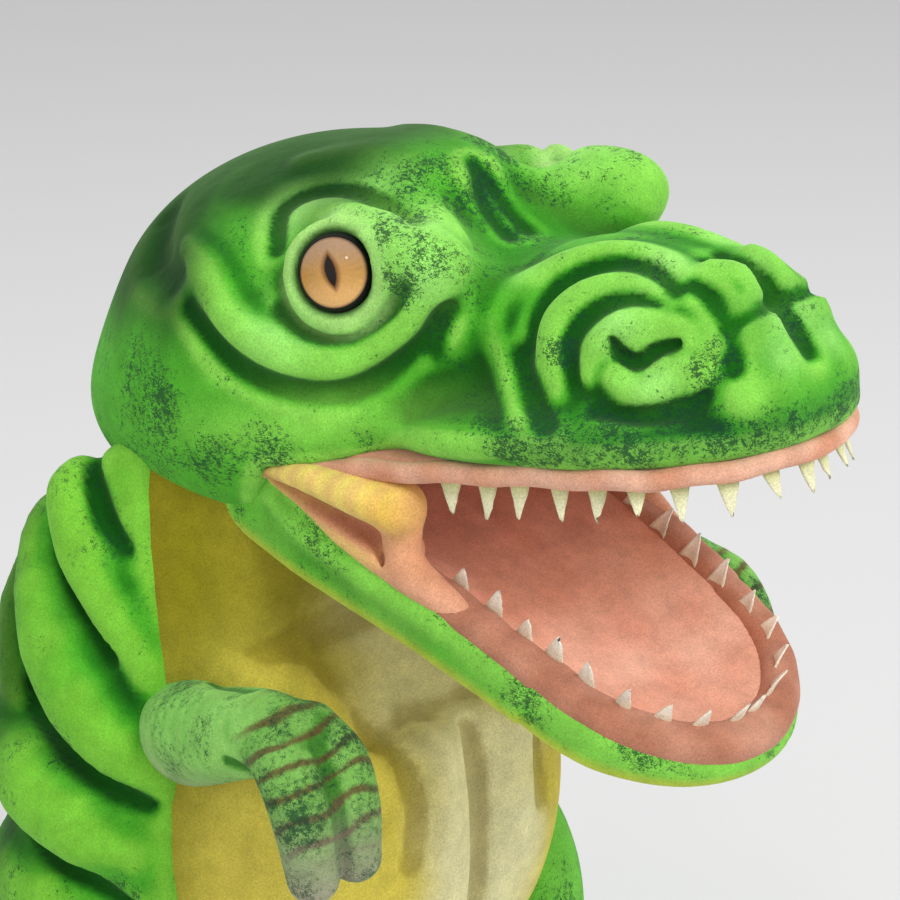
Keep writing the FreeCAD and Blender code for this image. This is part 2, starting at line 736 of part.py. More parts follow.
def arm_form(name, side, inset):
    """Upper arm and two fingers, in the shoulder's frame, with a flat inner end."""

    def point(out_ahead_up):
        out, ahead, up = out_ahead_up
        return Vector(side * out, -ahead, up)

    pieces = [limb(f"{name}_upper", point((0.0, 0.0, 0.0)), point(WRIST), "arm", inset)]
    for finger, (knuckle, tip) in FINGERS.items():
        pieces.append(limb(f"{name}_{finger}", point(knuckle), point(tip), "finger", inset))
    flat = "( shoulder_half - arm_flat_half )"
    low, high = ("-400", flat) if side < 0 else (f"0 - {flat}", "400")
    outside = block(f"{name}_outside", (low, "-200", "-200"), (high, "200", "200"))
    return common(name, fuse(f"{name}_mass", *pieces), outside)


def build_arms():
    for side_name, side in SIDES.items():
        shoulder = Vector(
            side * size("shoulder_half"),
            size("head_y") + size("shoulder_back"),
            size("head_z") - size("shoulder_drop"),
        )
        raised = size("left_arm_raise") if side_name == "left" else 0.0
        place = Placement(shoulder, Rotation(Vector(1, 0, 0), -raised))
        n = f"{side_name}_arm"
        outer, inner = arm_form(f"{n}_outer", side, "0"), arm_form(f"{n}_inner", side, "arm_fabric")
        shell = cut(f"{n}_shell", outer, inner)
        finish(shell, f"{n}_skin", place)
        finish(arm_form(f"{n}_fill", side, "arm_fill_inset"), f"{n}_stuffing", place)


# ---------------------------------------------------------------- build, check and write
def check(shape, label):
    if shape.isNull() or not shape.isValid():
        raise SystemExit(f"{label} has no valid shape")
    if not shape.Solids:
        raise SystemExit(f"{label} has no solid")


def main():
    build_torso()
    build_legs()
    build_tail()
    build_neck()
    build_head()
    build_teeth()
    build_jaw()
    build_mouth_corners()
    build_arms()
    doc.recompute()
    failed = [o.Name for o in doc.Objects if {"Invalid", "Error"} & set(o.State)]
    if failed:
        raise SystemExit(f"these objects failed: {failed}")
    os.makedirs("parts", exist_ok=True)
    low, high = [1e9] * 3, [-1e9] * 3
    for part in PARTS:
        shape = part.Shape
        check(shape, part.Label)
        shape.exportStep(f"parts/{part.Label}.step")
        box = shape.BoundBox
        low = [min(a, b) for a, b in zip(low, (box.XMin, box.YMin, box.ZMin))]
        high = [max(a, b) for a, b in zip(high, (box.XMax, box.YMax, box.ZMax))]
        print(f"{part.Label:22s} {shape.Volume / 1000:9.2f} cm3  {len(shape.Solids)} solids")
    print("box", [round(v, 2) for v in low], [round(v, 2) for v in high])


main()
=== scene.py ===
"""Looks for the stuffed dinosaur: sculpted plush skins, mouth, teeth and eyes over the CAD frame.

The skins are sculpted in millimetres, in one of three frames: the head's, the jaw's, or the body's, each as
(sideways, ahead, up). Sideways is towards the toy's left; folds are written once and made on both sides.
"""

import math

import bpy
import numpy as np
import openvdb as vdb
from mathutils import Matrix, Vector


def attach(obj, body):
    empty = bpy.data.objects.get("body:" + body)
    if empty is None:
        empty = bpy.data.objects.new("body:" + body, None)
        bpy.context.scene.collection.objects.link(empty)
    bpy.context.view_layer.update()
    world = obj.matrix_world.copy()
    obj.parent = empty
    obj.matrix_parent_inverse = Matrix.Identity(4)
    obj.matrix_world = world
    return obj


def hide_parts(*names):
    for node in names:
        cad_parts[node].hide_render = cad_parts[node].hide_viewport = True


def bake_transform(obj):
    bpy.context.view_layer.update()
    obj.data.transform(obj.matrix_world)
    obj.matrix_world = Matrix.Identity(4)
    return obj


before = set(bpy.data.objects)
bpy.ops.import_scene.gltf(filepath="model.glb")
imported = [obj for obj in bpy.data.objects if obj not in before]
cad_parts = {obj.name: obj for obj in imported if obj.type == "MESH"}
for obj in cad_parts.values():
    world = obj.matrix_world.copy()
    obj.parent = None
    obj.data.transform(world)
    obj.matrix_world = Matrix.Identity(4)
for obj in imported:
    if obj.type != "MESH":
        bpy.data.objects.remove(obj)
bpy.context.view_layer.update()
F = np.float32  # enough for millimetres, at half the memory

HEAD_Y, HEAD_Z = -77.9, 325.0  # the head's centre, mm
NOSE_UP = math.radians(10.0)
CHIN_DOWN = math.radians(22.3)
HINGE_BACK, HINGE_DROP = 20.0, 30.0  # the jaw's hinge, behind and under the head's centre, mm


# ---------------------------------------------------------------- frames
def body_place(p):
    """Body frame (sideways, ahead, up), from the head's centre, in mm, to the row frame in metres."""
    return np.stack((p[:, 0], HEAD_Y - p[:, 1], HEAD_Z + p[:, 2]), 1) / 1000


def leaned(p, start, end, lean):
    """The soft snout and jaw lean a little towards the toy's right, more and more towards their tips."""
    t = np.clip((p[:, 1] - start) / (end - start), 0, 1.1)
    return np.stack((p[:, 0] - lean * t * t, p[:, 1], p[:, 2]), 1)


def head_place(p):
    p = leaned(p, start=30.0, end=150.0, lean=4.5)
    c, s = math.cos(NOSE_UP), math.sin(NOSE_UP)
    return body_place(np.stack((p[:, 0], p[:, 1] * c - p[:, 2] * s, p[:, 1] * s + p[:, 2] * c), 1))


def jaw_place(p):
    p = leaned(p, start=50.0, end=175.0, lean=9.0)
    c, s = math.cos(CHIN_DOWN), math.sin(CHIN_DOWN)
    ahead = -HINGE_BACK + p[:, 1] * c + p[:, 2] * s
    return body_place(np.stack((p[:, 0], ahead, -HINGE_DROP - p[:, 1] * s + p[:, 2] * c), 1))


# ---------------------------------------------------------------- sculpting
def merged(d, e, soft, side):
    """Two distance fields joined smoothly, with side 1, or the first kept inside the second, with side -1."""
    h = np.clip(0.5 + 0.5 * side * (d - e) / soft, 0, 1)
    return d * (1 - h) + e * h - side * soft * h * (1 - h)


class Clay:
    """A distance field on a grid, in mm, positive outside. With both, shapes are made on both sides."""

    def __init__(self, low, high, step, both=True):
        self.step, self.low, self.both = step, np.array(low, F), both
        counts = [int(math.ceil((h - l) / step)) + 1 for l, h in zip(low, high)]
        self.axes = [F(l) + F(step) * np.arange(n, dtype=F) for l, n in zip(low, counts)]
        self.d = np.full(counts, 60.0, F)

    def windows(self, centre, reach):
        sides = (1, -1) if self.both and abs(centre[0]) > 1e-6 else (1,)
        for side in sides:
            cuts = []
            for c, a in zip((centre[0] * side, *centre[1:]), self.axes):
                lo, hi = np.searchsorted(a, (c - reach, c + reach))
                cuts.append(slice(int(lo), int(hi)))
            if all(c.stop > c.start for c in cuts):
                x, y, z = np.meshgrid(*(a[c] for a, c in zip(self.axes, cuts)), indexing="ij")
                yield tuple(cuts), np.stack((x * side, y, z), -1)

    def work(self, shape, centre, reach, soft, side):
        """Adds a shape, with side 1, or cuts it out, with side -1."""
        for cuts, p in self.windows(centre, reach):
            self.d[cuts] = merged(self.d[cuts], side * shape(p), soft, side)

    def ball(self, centre, radii, soft, side=1):
        centre, radii = np.array(centre, F), np.array(radii, F)

        def shape(p):
            q = p - centre
            k0 = np.linalg.norm(q / radii, axis=-1)
            k1 = np.linalg.norm(q / (radii * radii), axis=-1) + F(1e-6)
            return k0 * (k0 - 1) / k1

        self.work(shape, centre, float(radii.max()) + 3 * soft + 4, soft, side)

    def at(self, points):
        """The field's value at some points, between the grid's own."""
        q = (np.asarray(points, F) - self.low) / self.step
        top = np.array(self.d.shape) - 2
        i = np.clip(np.floor(q).astype(int), 0, top)
        f = np.clip(q - i, 0, 1)
        ix, iy, iz = i.T
        c = [[[self.d[ix + a, iy + b, iz + g] for g in (0, 1)] for b in (0, 1)] for a in (0, 1)]
        fx, fy, fz = f.T
        along_x = [[c[0][b][g] * (1 - fx) + c[1][b][g] * fx for g in (0, 1)] for b in (0, 1)]
        along_y = [along_x[0][g] * (1 - fy) + along_x[1][g] * fy for g in (0, 1)]
        return along_y[0] * (1 - fz) + along_y[1] * fz

    def slope(self, points):
        offsets = np.eye(3, dtype=F) * self.step
        g = np.stack([self.at(points + o) - self.at(points - o) for o in offsets], 1)
        return g / (np.linalg.norm(g, axis=1, keepdims=True) + 1e-6)

    def settled(self, points, depth):
        """The points, moved until they lie at a depth under the surface."""
        p = np.array(points, F)
        for _ in range(6):
            p = p - ((self.at(p) + depth)[:, None] * self.slope(p)) * 0.8
        return p

    def grid(self):
        return np.meshgrid(*self.axes, indexing="ij", sparse=True)

    def fold(self, points, radii, soft, proud):
        """A sausage that stands this far out of the surface."""
        self.stroke(points, radii, soft, 1, proud)

    def groove(self, points, radii, soft, deep=None):
        """A sausage cut out, this deep into the surface or else where its points are."""
        self.stroke(points, radii, soft, -1, deep)

    def stroke(self, points, radii, soft, side=1, proud=None):
        """A sausage along a smooth line. With proud, its points are first moved to suit the surface."""
        radii = np.atleast_1d(np.array(radii, F))
        if proud is not None:
            points = self.settled(points, side * (float(radii.mean()) - proud))
        pts = smooth_line(points)
        rad = np.interp(np.linspace(0, 1, len(pts)), np.linspace(0, 1, len(radii)), radii)
        mid = (pts.min(0) + pts.max(0)) / 2
        if abs(mid[0]) < 1e-6:
            mid[0] = 1e-5
        reach = float((pts.max(0) - pts.min(0)).max()) / 2 + float(radii.max()) + 2 * soft + 3

        def shape(p):
            best = None
            for a, b, ra, rb in zip(pts[:-1], pts[1:], rad[:-1], rad[1:]):
                ab = b - a
                t = np.clip(((p - a) @ ab) / (ab @ ab + 1e-9), 0, 1)
                e = np.linalg.norm(p - a - t[..., None] * ab, axis=-1) - (ra + (rb - ra) * t)
                best = e if best is None else np.minimum(best, e)
            return best.astype(F)

        self.work(shape, mid, reach, soft, side)

    def limit(self, keep, soft):
        """Keeps only where keep(x, y, z) is negative."""
        self.d = merged(self.d, keep(*self.grid()).astype(F) + np.zeros_like(self.d), soft, -1)

    def curl(self, points, reach):
        """How convex the surface is, in 1/mm, smoothed over a few grid steps."""
        d = self.d
        for axis in range(3):
            for _ in range(reach):
                d = (np.roll(d, 1, axis) + np.roll(d, -1, axis) + 2 * d) / 4
        bend = -6 * d
        for axis in range(3):
            bend = bend + np.roll(d, 1, axis) + np.roll(d, -1, axis)
        kept, self.d = self.d, bend / (self.step * self.step)
        value = self.at(points)
        self.d = kept
        return value

    def surface(self):
        """The surface's points, in mm, and its four-sided faces."""
        grid = vdb.FloatGrid(60.0)
        grid.copyFromArray(np.ascontiguousarray(self.d))
        points, quads = grid.convertToQuads(isovalue=0.0)
        return points.astype(F) * self.step + self.low, quads


def smooth_line(points, per=4):
    """A smooth line through some points, with per steps between each two."""
    p = np.array(points, F)
    if len(p) < 3:
        return p
    q = np.concatenate([2 * p[:1] - p[1:2], p, 2 * p[-1:] - p[-2:-1]])
    out = []
    for a, b, c, d in zip(q[:-3], q[1:-2], q[2:-1], q[3:]):
        for t in np.arange(per, dtype=F) / per:
            square, cube = 2 * a - 5 * b + 4 * c - d, 3 * b - a - 3 * c + d
            out.append(0.5 * (2 * b + (c - a) * t + square * t**2 + cube * t**3))
    out.append(p[-1])
    return np.array(out, F)


def step_up(low, high, value):
    t = np.clip((value - low) / (high - low), 0, 1)
    return t * t * (3 - 2 * t)


def linear(red, green, blue):
    """A colour given as 0 to 255 display values, as light values."""
    c = np.array((red, green, blue), F) / 255
    return np.where(c <= 0.04045, c / 12.92, ((c + 0.055) / 1.055) ** 2.4).astype(F)


def tint(paint, colour, amount):
    """Lays a colour, given as display values, over per-point paint: airbrushed dye, and also painted light
    and shade.
    """
    amount = (np.clip(amount, 0, 1) * np.ones(len(paint), F))[:, None]
    return paint * (1 - amount) + linear(*colour)[None, :] * amount


def plain(points, colour):
    return np.repeat(linear(*colour)[None, :], len(points), 0)


def spot(values, middle, reach):
    """1 at a place, falling to 0 over a reach along each axis."""
    return np.exp(-sum(((v - m) / r) ** 2 for v, m, r in zip(values, middle, reach)))


def round_spot(x, y, z, middle, size):
    return np.exp(-(((x - middle[0]) ** 2 + (y - middle[1]) ** 2 + (z - middle[2]) ** 2) / size**2))


def lumps(p, size, seed):
    """Smooth pseudo-random values, about -1 to 1, varying over a length in mm."""
    rng = np.random.default_rng(seed)
    total = np.zeros(len(p), F)
    for _ in range(9):
        wave = rng.normal(size=3)
        wave *= rng.uniform(0.6, 1.5) * 2 * math.pi / size / np.linalg.norm(wave)
        total += np.sin(p @ wave.astype(F) + rng.uniform(0, 6.28))
    return total / 3


# ---------------------------------------------------------------- meshes
def new_object(name, data):
    made = bpy.data.objects.new(name, data)
    bpy.context.scene.collection.objects.link(made)
    return made


def make_mesh(name, points, faces, place):
    """A closed mesh of triangles or of four-sided faces, turned so that they all look outwards."""
    world = place(points)
    mesh = bpy.data.meshes.new(name)
    flat = faces.reshape(-1)
    a, b, c = (world[faces[:, k]] for k in (0, 1, 2))
    volume = np.einsum("ij,ij->i", a, np.cross(b, c)).sum()
    if faces.shape[1] == 4:
        volume += np.einsum("ij,ij->i", a, np.cross(c, world[faces[:, 3]])).sum()
    if volume < 0:
        flat = faces[:, ::-1].reshape(-1)
    mesh.vertices.add(len(world))
    mesh.vertices.foreach_set("co", world.astype(F).reshape(-1))
    mesh.loops.add(len(flat))
    mesh.loops.foreach_set("vertex_index", flat.astype(np.int32))
    mesh.polygons.add(len(faces))
    mesh.polygons.foreach_set("loop_start", np.arange(0, len(flat), faces.shape[1], dtype=np.int32))
    mesh.update(calc_edges=True)
    mesh.validate()
    mesh.shade_smooth()
    return new_object(name, mesh)


def paint_on(piece, material, paint, speckle=None):
    """Stores the airbrushed colours, with the painted light and shade laid into them, and how thickly dark
    speckles lie, on a mesh's points.
    """
    mesh = piece.data
    layer = mesh.attributes.new("airbrush_and_painted_light", "FLOAT_COLOR", "POINT")
    values = np.ones((len(mesh.vertices), 4), F)
    values[:, :3] = paint
    layer.data.foreach_set("color", values.reshape(-1))
    dots = mesh.attributes.new("speckle", "FLOAT", "POINT")
    dots.data.foreach_set("value", (np.zeros(len(mesh.vertices)) if speckle is None else speckle).astype(F))
    mesh.materials.append(material)


def sculpted(name, clay, place, painter, material, keep=None):
    """The clay's surface as a painted piece. keep, where given, says which faces stay, from their middles."""
    points, quads = clay.surface()
    if keep is not None:
        quads = quads[keep(points[quads].mean(1))]
        used = np.unique(quads)
        renumber = np.zeros(len(points), int)
        renumber[used] = np.arange(len(used))
        points, quads = points[used], renumber[quads]
    piece = make_mesh(name, points, quads, place)
    paint_on(piece, material, *painter(points, clay))
    return piece


# ---------------------------------------------------------------- materials
def new_material(name, colour, roughness, **inputs):
    material = bpy.data.materials.new(name)
    material.use_nodes = True
    shader = material.node_tree.nodes["Principled BSDF"]
    shader.inputs["Base Color"].default_value = (*colour, 1)
    shader.inputs["Roughness"].default_value = roughness
    for key, value in inputs.items():
        shader.inputs[key.replace("_", " ")].default_value = value
    return material, material.node_tree, shader


def node(tree, kind, **settings):
    made = tree.nodes.new(kind)
    for key, value in settings.items():
        if key in made.inputs:
            made.inputs[key].default_value = value
        else:
            setattr(made, key, value)
    return made


def object_place(tree):
    return tree.nodes.new("ShaderNodeTexCoord").outputs["Object"]


def noise(tree, place, scale, detail=3.0, roughness=0.6):
    made = node(tree, "ShaderNodeTexNoise", Scale=scale, Detail=detail, Roughness=roughness)
    tree.links.new(place, made.inputs["Vector"])
    return made.outputs["Fac"]


def spread(tree, value, from_low, from_high, to_low=0.0, to_high=1.0):
    made = tree.nodes.new("ShaderNodeMapRange")
    keys = ("From Min", "From Max", "To Min", "To Max")
    for key, number in zip(keys, (from_low, from_high, to_low, to_high)):
        made.inputs[key].default_value = number
    tree.links.new(value, made.inputs["Value"])
    return made.outputs["Result"]


def maths(tree, operation, a, b):
    made = node(tree, "ShaderNodeMath", operation=operation)
    for socket, value in zip(made.inputs, (a, b)):
        if isinstance(value, (int, float)):
            socket.default_value = value
        else:
            tree.links.new(value, socket)
    return made.outputs[0]


def mix_colour(tree, amount, a, b, mode="MIX"):
    made = node(tree, "ShaderNodeMix", data_type="RGBA", blend_type=mode)
    for socket, value in ((made.inputs[0], amount), (made.inputs[6], a), (made.inputs[7], b)):
        if isinstance(value, (int, float)):
            socket.default_value = value
        elif isinstance(value, (tuple, list, np.ndarray)):
            socket.default_value = (*[float(v) for v in value[:3]], 1)
        else:
            tree.links.new(value, socket)
    return made.outputs[2]


def shaded(tree, colour, shade):
    """A colour multiplied by a grey value."""
    grey = node(tree, "ShaderNodeCombineColor")
    for socket in grey.inputs[:3]:
        tree.links.new(shade, socket)
    return mix_colour(tree, 1.0, colour, grey.outputs[0], "MULTIPLY")


def bumped(tree, shader, height, strength, distance):
    bump = node(tree, "ShaderNodeBump", Strength=strength, Distance=distance)
    tree.links.new(height, bump.inputs["Height"])
    tree.links.new(bump.outputs["Normal"], shader.inputs["Normal"])


def plush(name, dark, sheen, sheen_tint, pile=0.5):
    """Short-pile plush: airbrushed colour with painted light and shade, varied fibre by fibre, with ragged
    dark speckles.
    """
    material, tree, shader = new_material(
        name, (0.3, 0.5, 0.2), 0.95, Sheen_Weight=sheen, Sheen_Roughness=0.45, Specular_IOR_Level=0.15
    )
    shader.inputs["Sheen Tint"].default_value = (*sheen_tint, 1)
    place = object_place(tree)
    paint = node(tree, "ShaderNodeAttribute", attribute_name="airbrush_and_painted_light").outputs["Color"]
    dots = node(tree, "ShaderNodeAttribute", attribute_name="speckle").outputs["Fac"]
    soft = spread(tree, noise(tree, place, 120.0, 4.0), 0.3, 0.7, 0.86, 1.12)
    fibre = spread(tree, noise(tree, place, 1600.0, 2.0, 0.7), 0.3, 0.7, 0.80, 1.16)
    colour = shaded(tree, paint, maths(tree, "MULTIPLY", soft, fibre))
    # a speckle is where ragged noise, in patches and along wavy cracks, passes the speckle layer's level
    ragged = noise(tree, place, 520.0, 5.0, 0.68)
    patch = noise(tree, place, 75.0, 2.0, 0.5)
    wanted = maths(tree, "ADD", ragged, maths(tree, "MULTIPLY", maths(tree, "SUBTRACT", patch, 0.5), 0.55))
    waves = node(tree, "ShaderNodeTexNoise", Scale=160.0, Detail=2.0).outputs["Color"]
    wavy = mix_colour(tree, 0.012, place, waves, "ADD")
    cells = node(tree, "ShaderNodeTexVoronoi", feature="DISTANCE_TO_EDGE", Scale=210.0)
    tree.links.new(wavy, cells.inputs["Vector"])
    crack = spread(tree, cells.outputs["Distance"], 0.0, 0.16, 0.17, -0.05)
    wanted = maths(tree, "ADD", wanted, crack)
    level = maths(tree, "SUBTRACT", 0.82, maths(tree, "MULTIPLY", dots, 0.30))
    amount = spread(tree, maths(tree, "SUBTRACT", wanted, level), 0.0, 0.05, 0.0, 0.85)
    amount = maths(tree, "MULTIPLY", amount, maths(tree, "GREATER_THAN", dots, 0.01))
    tree.links.new(mix_colour(tree, amount, colour, linear(*dark)), shader.inputs["Base Color"])
    pucker = maths(tree, "MULTIPLY", noise(tree, place, 48.0, 4.0, 0.5), 4.5)
    height = maths(tree, "ADD", fibre, maths(tree, "ADD", maths(tree, "MULTIPLY", soft, 0.5), pucker))
    bumped(tree, shader, height, pile, 0.0006)
    return material


DARK_GREEN = (22, 62, 40)
GREEN_PLUSH = plush("green_plush", DARK_GREEN, sheen=0.2, sheen_tint=(0.6, 1.0, 0.45))
YELLOW_PLUSH = plush("yellow_plush", DARK_GREEN, sheen=0.15, sheen_tint=(1.0, 0.95, 0.5))
PINK_NAP = plush("pink_nap", (120, 70, 50), sheen=0.2, sheen_tint=(1.0, 0.85, 0.75), pile=0.35)
FELT = plush("tooth_felt", (120, 115, 60), sheen=0.1, sheen_tint=(1.0, 1.0, 0.8), pile=0.25)


# ---------------------------------------------------------------- colours
# LIGHT also serves as painted highlight on ridges; DEEP and SHADOW serve as painted shade in grooves
LIGHT = (134, 206, 78)
MID = (76, 166, 40)
DEEP = (34, 122, 20)
SHADOW = (12, 76, 14)
CROWN = (4, 46, 14)
YELLOW = (200, 182, 36)
CREAM = (230, 224, 172)
# a reddish colour for the painted shade deep in the mouth
MOUTH_SHADE_RED = (158, 88, 66)


def green_paint(points, clay, scale):
    """Painted highlight on the ridges and painted shade in the grooves, with slow drifts in between."""
    bend = clay.curl(points, 2) * 14 * scale + lumps(points, 34, 3) * 0.12
    paint = plain(points, MID)
    paint = tint(paint, LIGHT, step_up(0.35, 1.5, bend) * 0.9)
    paint = tint(paint, DEEP, step_up(0.15, -0.45, bend) * 0.85)
    return tint(paint, SHADOW, step_up(-0.35, -1.3, bend) * 0.9), bend


# ---------------------------------------------------------------- head
EYE = np.array((55.5, 17.6, 34.0), F)
EYE_OUT = np.array((0.90, 0.38, 0.21), F) / np.linalg.norm((0.90, 0.38, 0.21))

# A mouth's outline from above: half its width at the rear, where it starts, where its round front starts, and
# the front's radius.
UPPER_MOUTH = (66.0, -14.0, 98.0, 54.0)
LOWER_MOUTH = (62.0, 24.0, 122.0, 54.0)


def upper_outline(x, y):
    """Distance outside the upper mouth's outline: straight sides and a round front."""
    rear_half, rear, front, radius = UPPER_MOUTH
    half = rear_half + (radius - rear_half) * (y - rear) / (front - rear)
    return np.where(y < front, np.abs(x) - half, np.hypot(x, y - front) - radius)


def roof_rise(x, y):
    """How far the roof of the mouth arches above its rim, from 0 to 1."""
    rim, ramp = 4.0, 40.0  # how far in the arch starts, and over what width it rises
    inside = np.clip(-(upper_outline(x, y) + rim) / ramp, 0, 1)
    return np.sin(inside * math.pi / 2) * step_up(-14, 10, y)


def lower_outline(x, y):
    """The jaw narrows earlier than the snout, to a blunt chin."""
    straight = np.abs(x) - (62.0 - 8.0 * (y - 24.0) / 98.0)
    ahead = np.maximum(y - 116.0, 0)
    tip = (np.abs(x / 53.0) ** 2.0 + (ahead / 59.0) ** 2.0) ** 0.5
    return np.where(y < 116.0, straight, (tip - 1) * 54.0)


def sculpt_head():
    clay = Clay((-86, -130, -62), (86, 164, 80), 1.55)
    clay.ball((0, -31, 6), (73, 82, 59), 1)
    clay.ball((26, -42, -12), (50, 72, 40), 14)
    clay.ball((34, 20, 22), (22, 34, 25), 12)
    clay.ball((0, 84, -4), (41, 64, 38), 16)
    clay.ball((0, 60, -17), (60, 70, 15), 10)
    clay.ball((0, 96, -19), (54, 57, 13), 8)
    # brow, and the folds round the eye
    clay.ball((44, 36, 34), (13, 19, 12), 8)
    clay.stroke([(42, 2, 46), (46, 16, 46), (47, 30, 42), (44, 46, 34)], [5, 7, 7, 5], 8)
    clay.fold([(22, -20, 53), (16, -4, 56), (16, 12, 54), (22, 26, 48), (32, 40, 38)], [3, 5, 6, 5, 3], 7,
        2.0)
    clay.fold([(47, -42, 30), (52, -30, 26), (60, -18, 18), (63, -5, 11), (62, 8, 8), (58, 22, 9),
        (52, 35, 16), (47, 47, 27)], [3, 5, 6, 6.5, 6.5, 6, 5, 3], 6, 3.2)
    clay.groove([(55, -35, 19), (64, -16, 7), (64, 3, 0), (60, 20, -2), (52, 36, 6), (46, 50, 20)],
        [2, 3, 3.2, 3.2, 3, 2], 5, 2.6)
    clay.groove([(60, -2, 22), (60, 9, 16), (58, 22, 16), (54, 34, 22), (50, 41, 32)],
        [1.6, 2.2, 2.4, 2, 1.5], 3, 2.2)
    clay.groove([(52, -9, 38), (42, -14, 46), (34, -8, 51), (30, 6, 52), (34, 24, 48), (44, 38, 40)],
        [1.8, 2.4, 2.6, 2.6, 2.2, 1.8], 4, 2.2)
    # the forehead, and the left brow, which is stuffed further forward than the right one
    clay.ball((5, 0, 50), (19, 28, 10.5), 12)
    clay.both = False
    clay.ball((46, 24, 57), (18, 10, 12.5), 8, -1)
    clay.ball((43, 46, 38), (14, 19, 12.5), 12)
    clay.both = True
    side = np.cross(EYE_OUT, (0, 0, 1.0))
    side /= np.linalg.norm(side)
    rise = np.cross(side, EYE_OUT)
    turns = np.linspace(0, 2 * math.pi, 15)
    ring = [EYE + EYE_OUT * 1.2 + (side * math.cos(a) + rise * math.sin(a)) * 14.6 for a in turns]
    clay.stroke(ring, [3.4, 3.2, 2.6, 2.2, 2.0, 2.2, 2.6, 3.2, 3.6, 3.8, 3.8, 3.8, 3.6, 3.4, 3.4], 4)
    clay.ball(EYE + EYE_OUT * 5, (12.3, 12.3, 12.3), 1.5, -1)
    # lines on the forehead and the cheek
    clay.groove([(44, 50, 30), (47, 48, 18), (48, 44, 6)], [1.6, 2.2, 1.6], 5, 0.9)
    clay.groove([(0.5, 22, 51), (3, 30, 46), (4, 42, 36)], [1.4, 2.2, 2], 5, 1.2)
    clay.groove([(52, -46, 26), (46, -58, 30), (30, -66, 34)], [6, 8, 6], 8, 4)
    # snout: nested folds round each nostril
    clay.fold([(28, 58, 18), (26, 64, 26), (22, 74, 34), (18, 86, 38), (16, 98, 38), (16, 110, 35),
        (18, 121, 29), (22, 130, 20)], [4, 5, 6, 6.5, 6.5, 6, 5, 4], 6, 2.6)
    clay.groove([(38, 74, 8), (34, 74, 18), (28, 80, 27), (24, 90, 32), (22, 100, 33), (22, 110, 31),
        (24, 119, 26)], [2, 3, 3.4, 3.6, 3.4, 3, 2], 5, 2.4)
    clay.fold([(44, 86, -2), (40, 82, 8), (36, 83, 18), (31, 90, 25), (28, 100, 28), (27, 109, 27),
        (27, 117, 22)], [3.5, 4.5, 5.5, 5.5, 5, 4, 3], 5, 2.2)
    clay.groove([(42, 93, 0), (39, 90, 11), (35, 95, 19), (31, 103, 23), (29, 112, 23), (29, 120, 18)],
        [1.8, 2.4, 2.6, 2.6, 2.4, 1.8], 4, 1.8)
    clay.fold([(39, 97, 2), (38, 100, 10), (34, 107, 16), (28, 117, 16), (26, 126, 11), (28, 131, 5)],
        [3.5, 4.6, 5, 5, 4.2, 3], 3.5, 2.6)
    clay.fold([(40, 106, 1), (39, 113, -3), (35, 121, -2), (31, 127, 3)], [4, 5, 5, 4], 3.5, 3.2)
    clay.groove([(37, 105, 12), (36, 108, 7), (33, 112, 5), (31, 117, 8), (29, 124, 10)],
        [1.4, 2.3, 2.6, 2.3, 1.4], 2, 3.6)
    clay.fold([(26, 134, 7), (28, 132, 1), (31, 126, -7)], [3, 3.4, 2.4], 3, 2)
    clay.fold([(40, 60, 14), (44, 66, 0), (50, 78, -10)], [3, 4, 3], 6, 1.2)
    clay.groove([(42, 70, 8), (46, 77, -3), (52, 88, -11)], [1.6, 2.2, 1.8], 5, 1.2)
    clay.groove([(44, 102, -7), (40, 116, -9), (33, 130, -7), (24, 139, -1)], [1.6, 2.2, 2.2, 1.6], 3, 2)
    # front of the nose
    clay.ball((9, 127, 20), (8, 9, 8), 8)
    clay.ball((13, 136, 9), (11, 10, 10), 8)
    clay.ball((11, 141, -8), (18, 11, 12), 9)
    clay.groove([(3, 118, 30), (2, 130, 24), (2, 140, 14), (1.5, 148, 0)], [1.6, 2.0, 2.0, 1.4], 3, 1.8)
    clay.fold([(10, 124, 28), (8, 131, 24), (9, 136, 18)], [2.2, 3, 2.2], 3, 2)
    clay.groove([(19, 122, 26), (18, 130, 20), (20, 138, 11), (24, 140, 2)], [1.6, 2.4, 2.4, 1.6], 4, 2)
    clay.groove([(1, 138, 17), (8, 140, 15), (15, 141, 15), (20, 136, 12)], [1.2, 1.8, 2, 1.4], 3, 1.8)

    def above_lip(x, y, z):
        behind = (-14.0 - y) * 1.1
        return -25.0 + 9.5 * roof_rise(x, y) - z - np.maximum(behind, 0)

    clay.limit(above_lip, 2.5)
    return clay


# Where the dark speckles gather on each side of the head: place, reach and strength.
BLOTCHES = (
    ((43, 46, 17), 5, 0.6), ((41, 65, 3), 7, 0.9), ((39, 86, 8), 5, 0.8), ((43, 100, -9), 5, 0.9),
    ((28, 133, 1), 6, 0.9), ((32, 129, -11), 7, 0.8), ((23, 148, -15), 6, 0.8), ((68, -62, 4), 13, 0.8),
    ((72, -56, -5), 9, 0.6), ((73, -29, -19), 10, 0.6), ((71, -7, -15), 7, 0.5), ((54, 36, 41), 11, 0.7),
    ((39, 29, 45), 9, 0.6), ((16, 22, 51), 13, 0.6), ((0, 35, 38), 9, 0.5), ((2, 50, 31), 7, 0.8),
    ((3, 88, 34), 6, 0.7), ((56, 84, -15), 9, 0.7), ((50, 106, -15), 9, 0.7), ((14, 14, 55), 10, 0.5),
)
RIGHT_ONLY = ((54, 36, 41), (39, 29, 45))
# Where the light green is brightest: the lighter airbrush, with painted highlight where the surface bulges.
BRIGHT = (
    ((20, 60, 30), 8), ((15, 112, 31), 9), ((34, 106, 17), 8), ((37, 119, -1), 8),
    ((4, 130, 24), 5), ((5, 142, 13), 8), ((12, 149, 4), 6), ((52, 50, 32), 9), ((27, 11, 50), 10),
    ((66, 0, 18), 12), ((43, -8, 47), 10), ((44, 36, 44), 14),
)


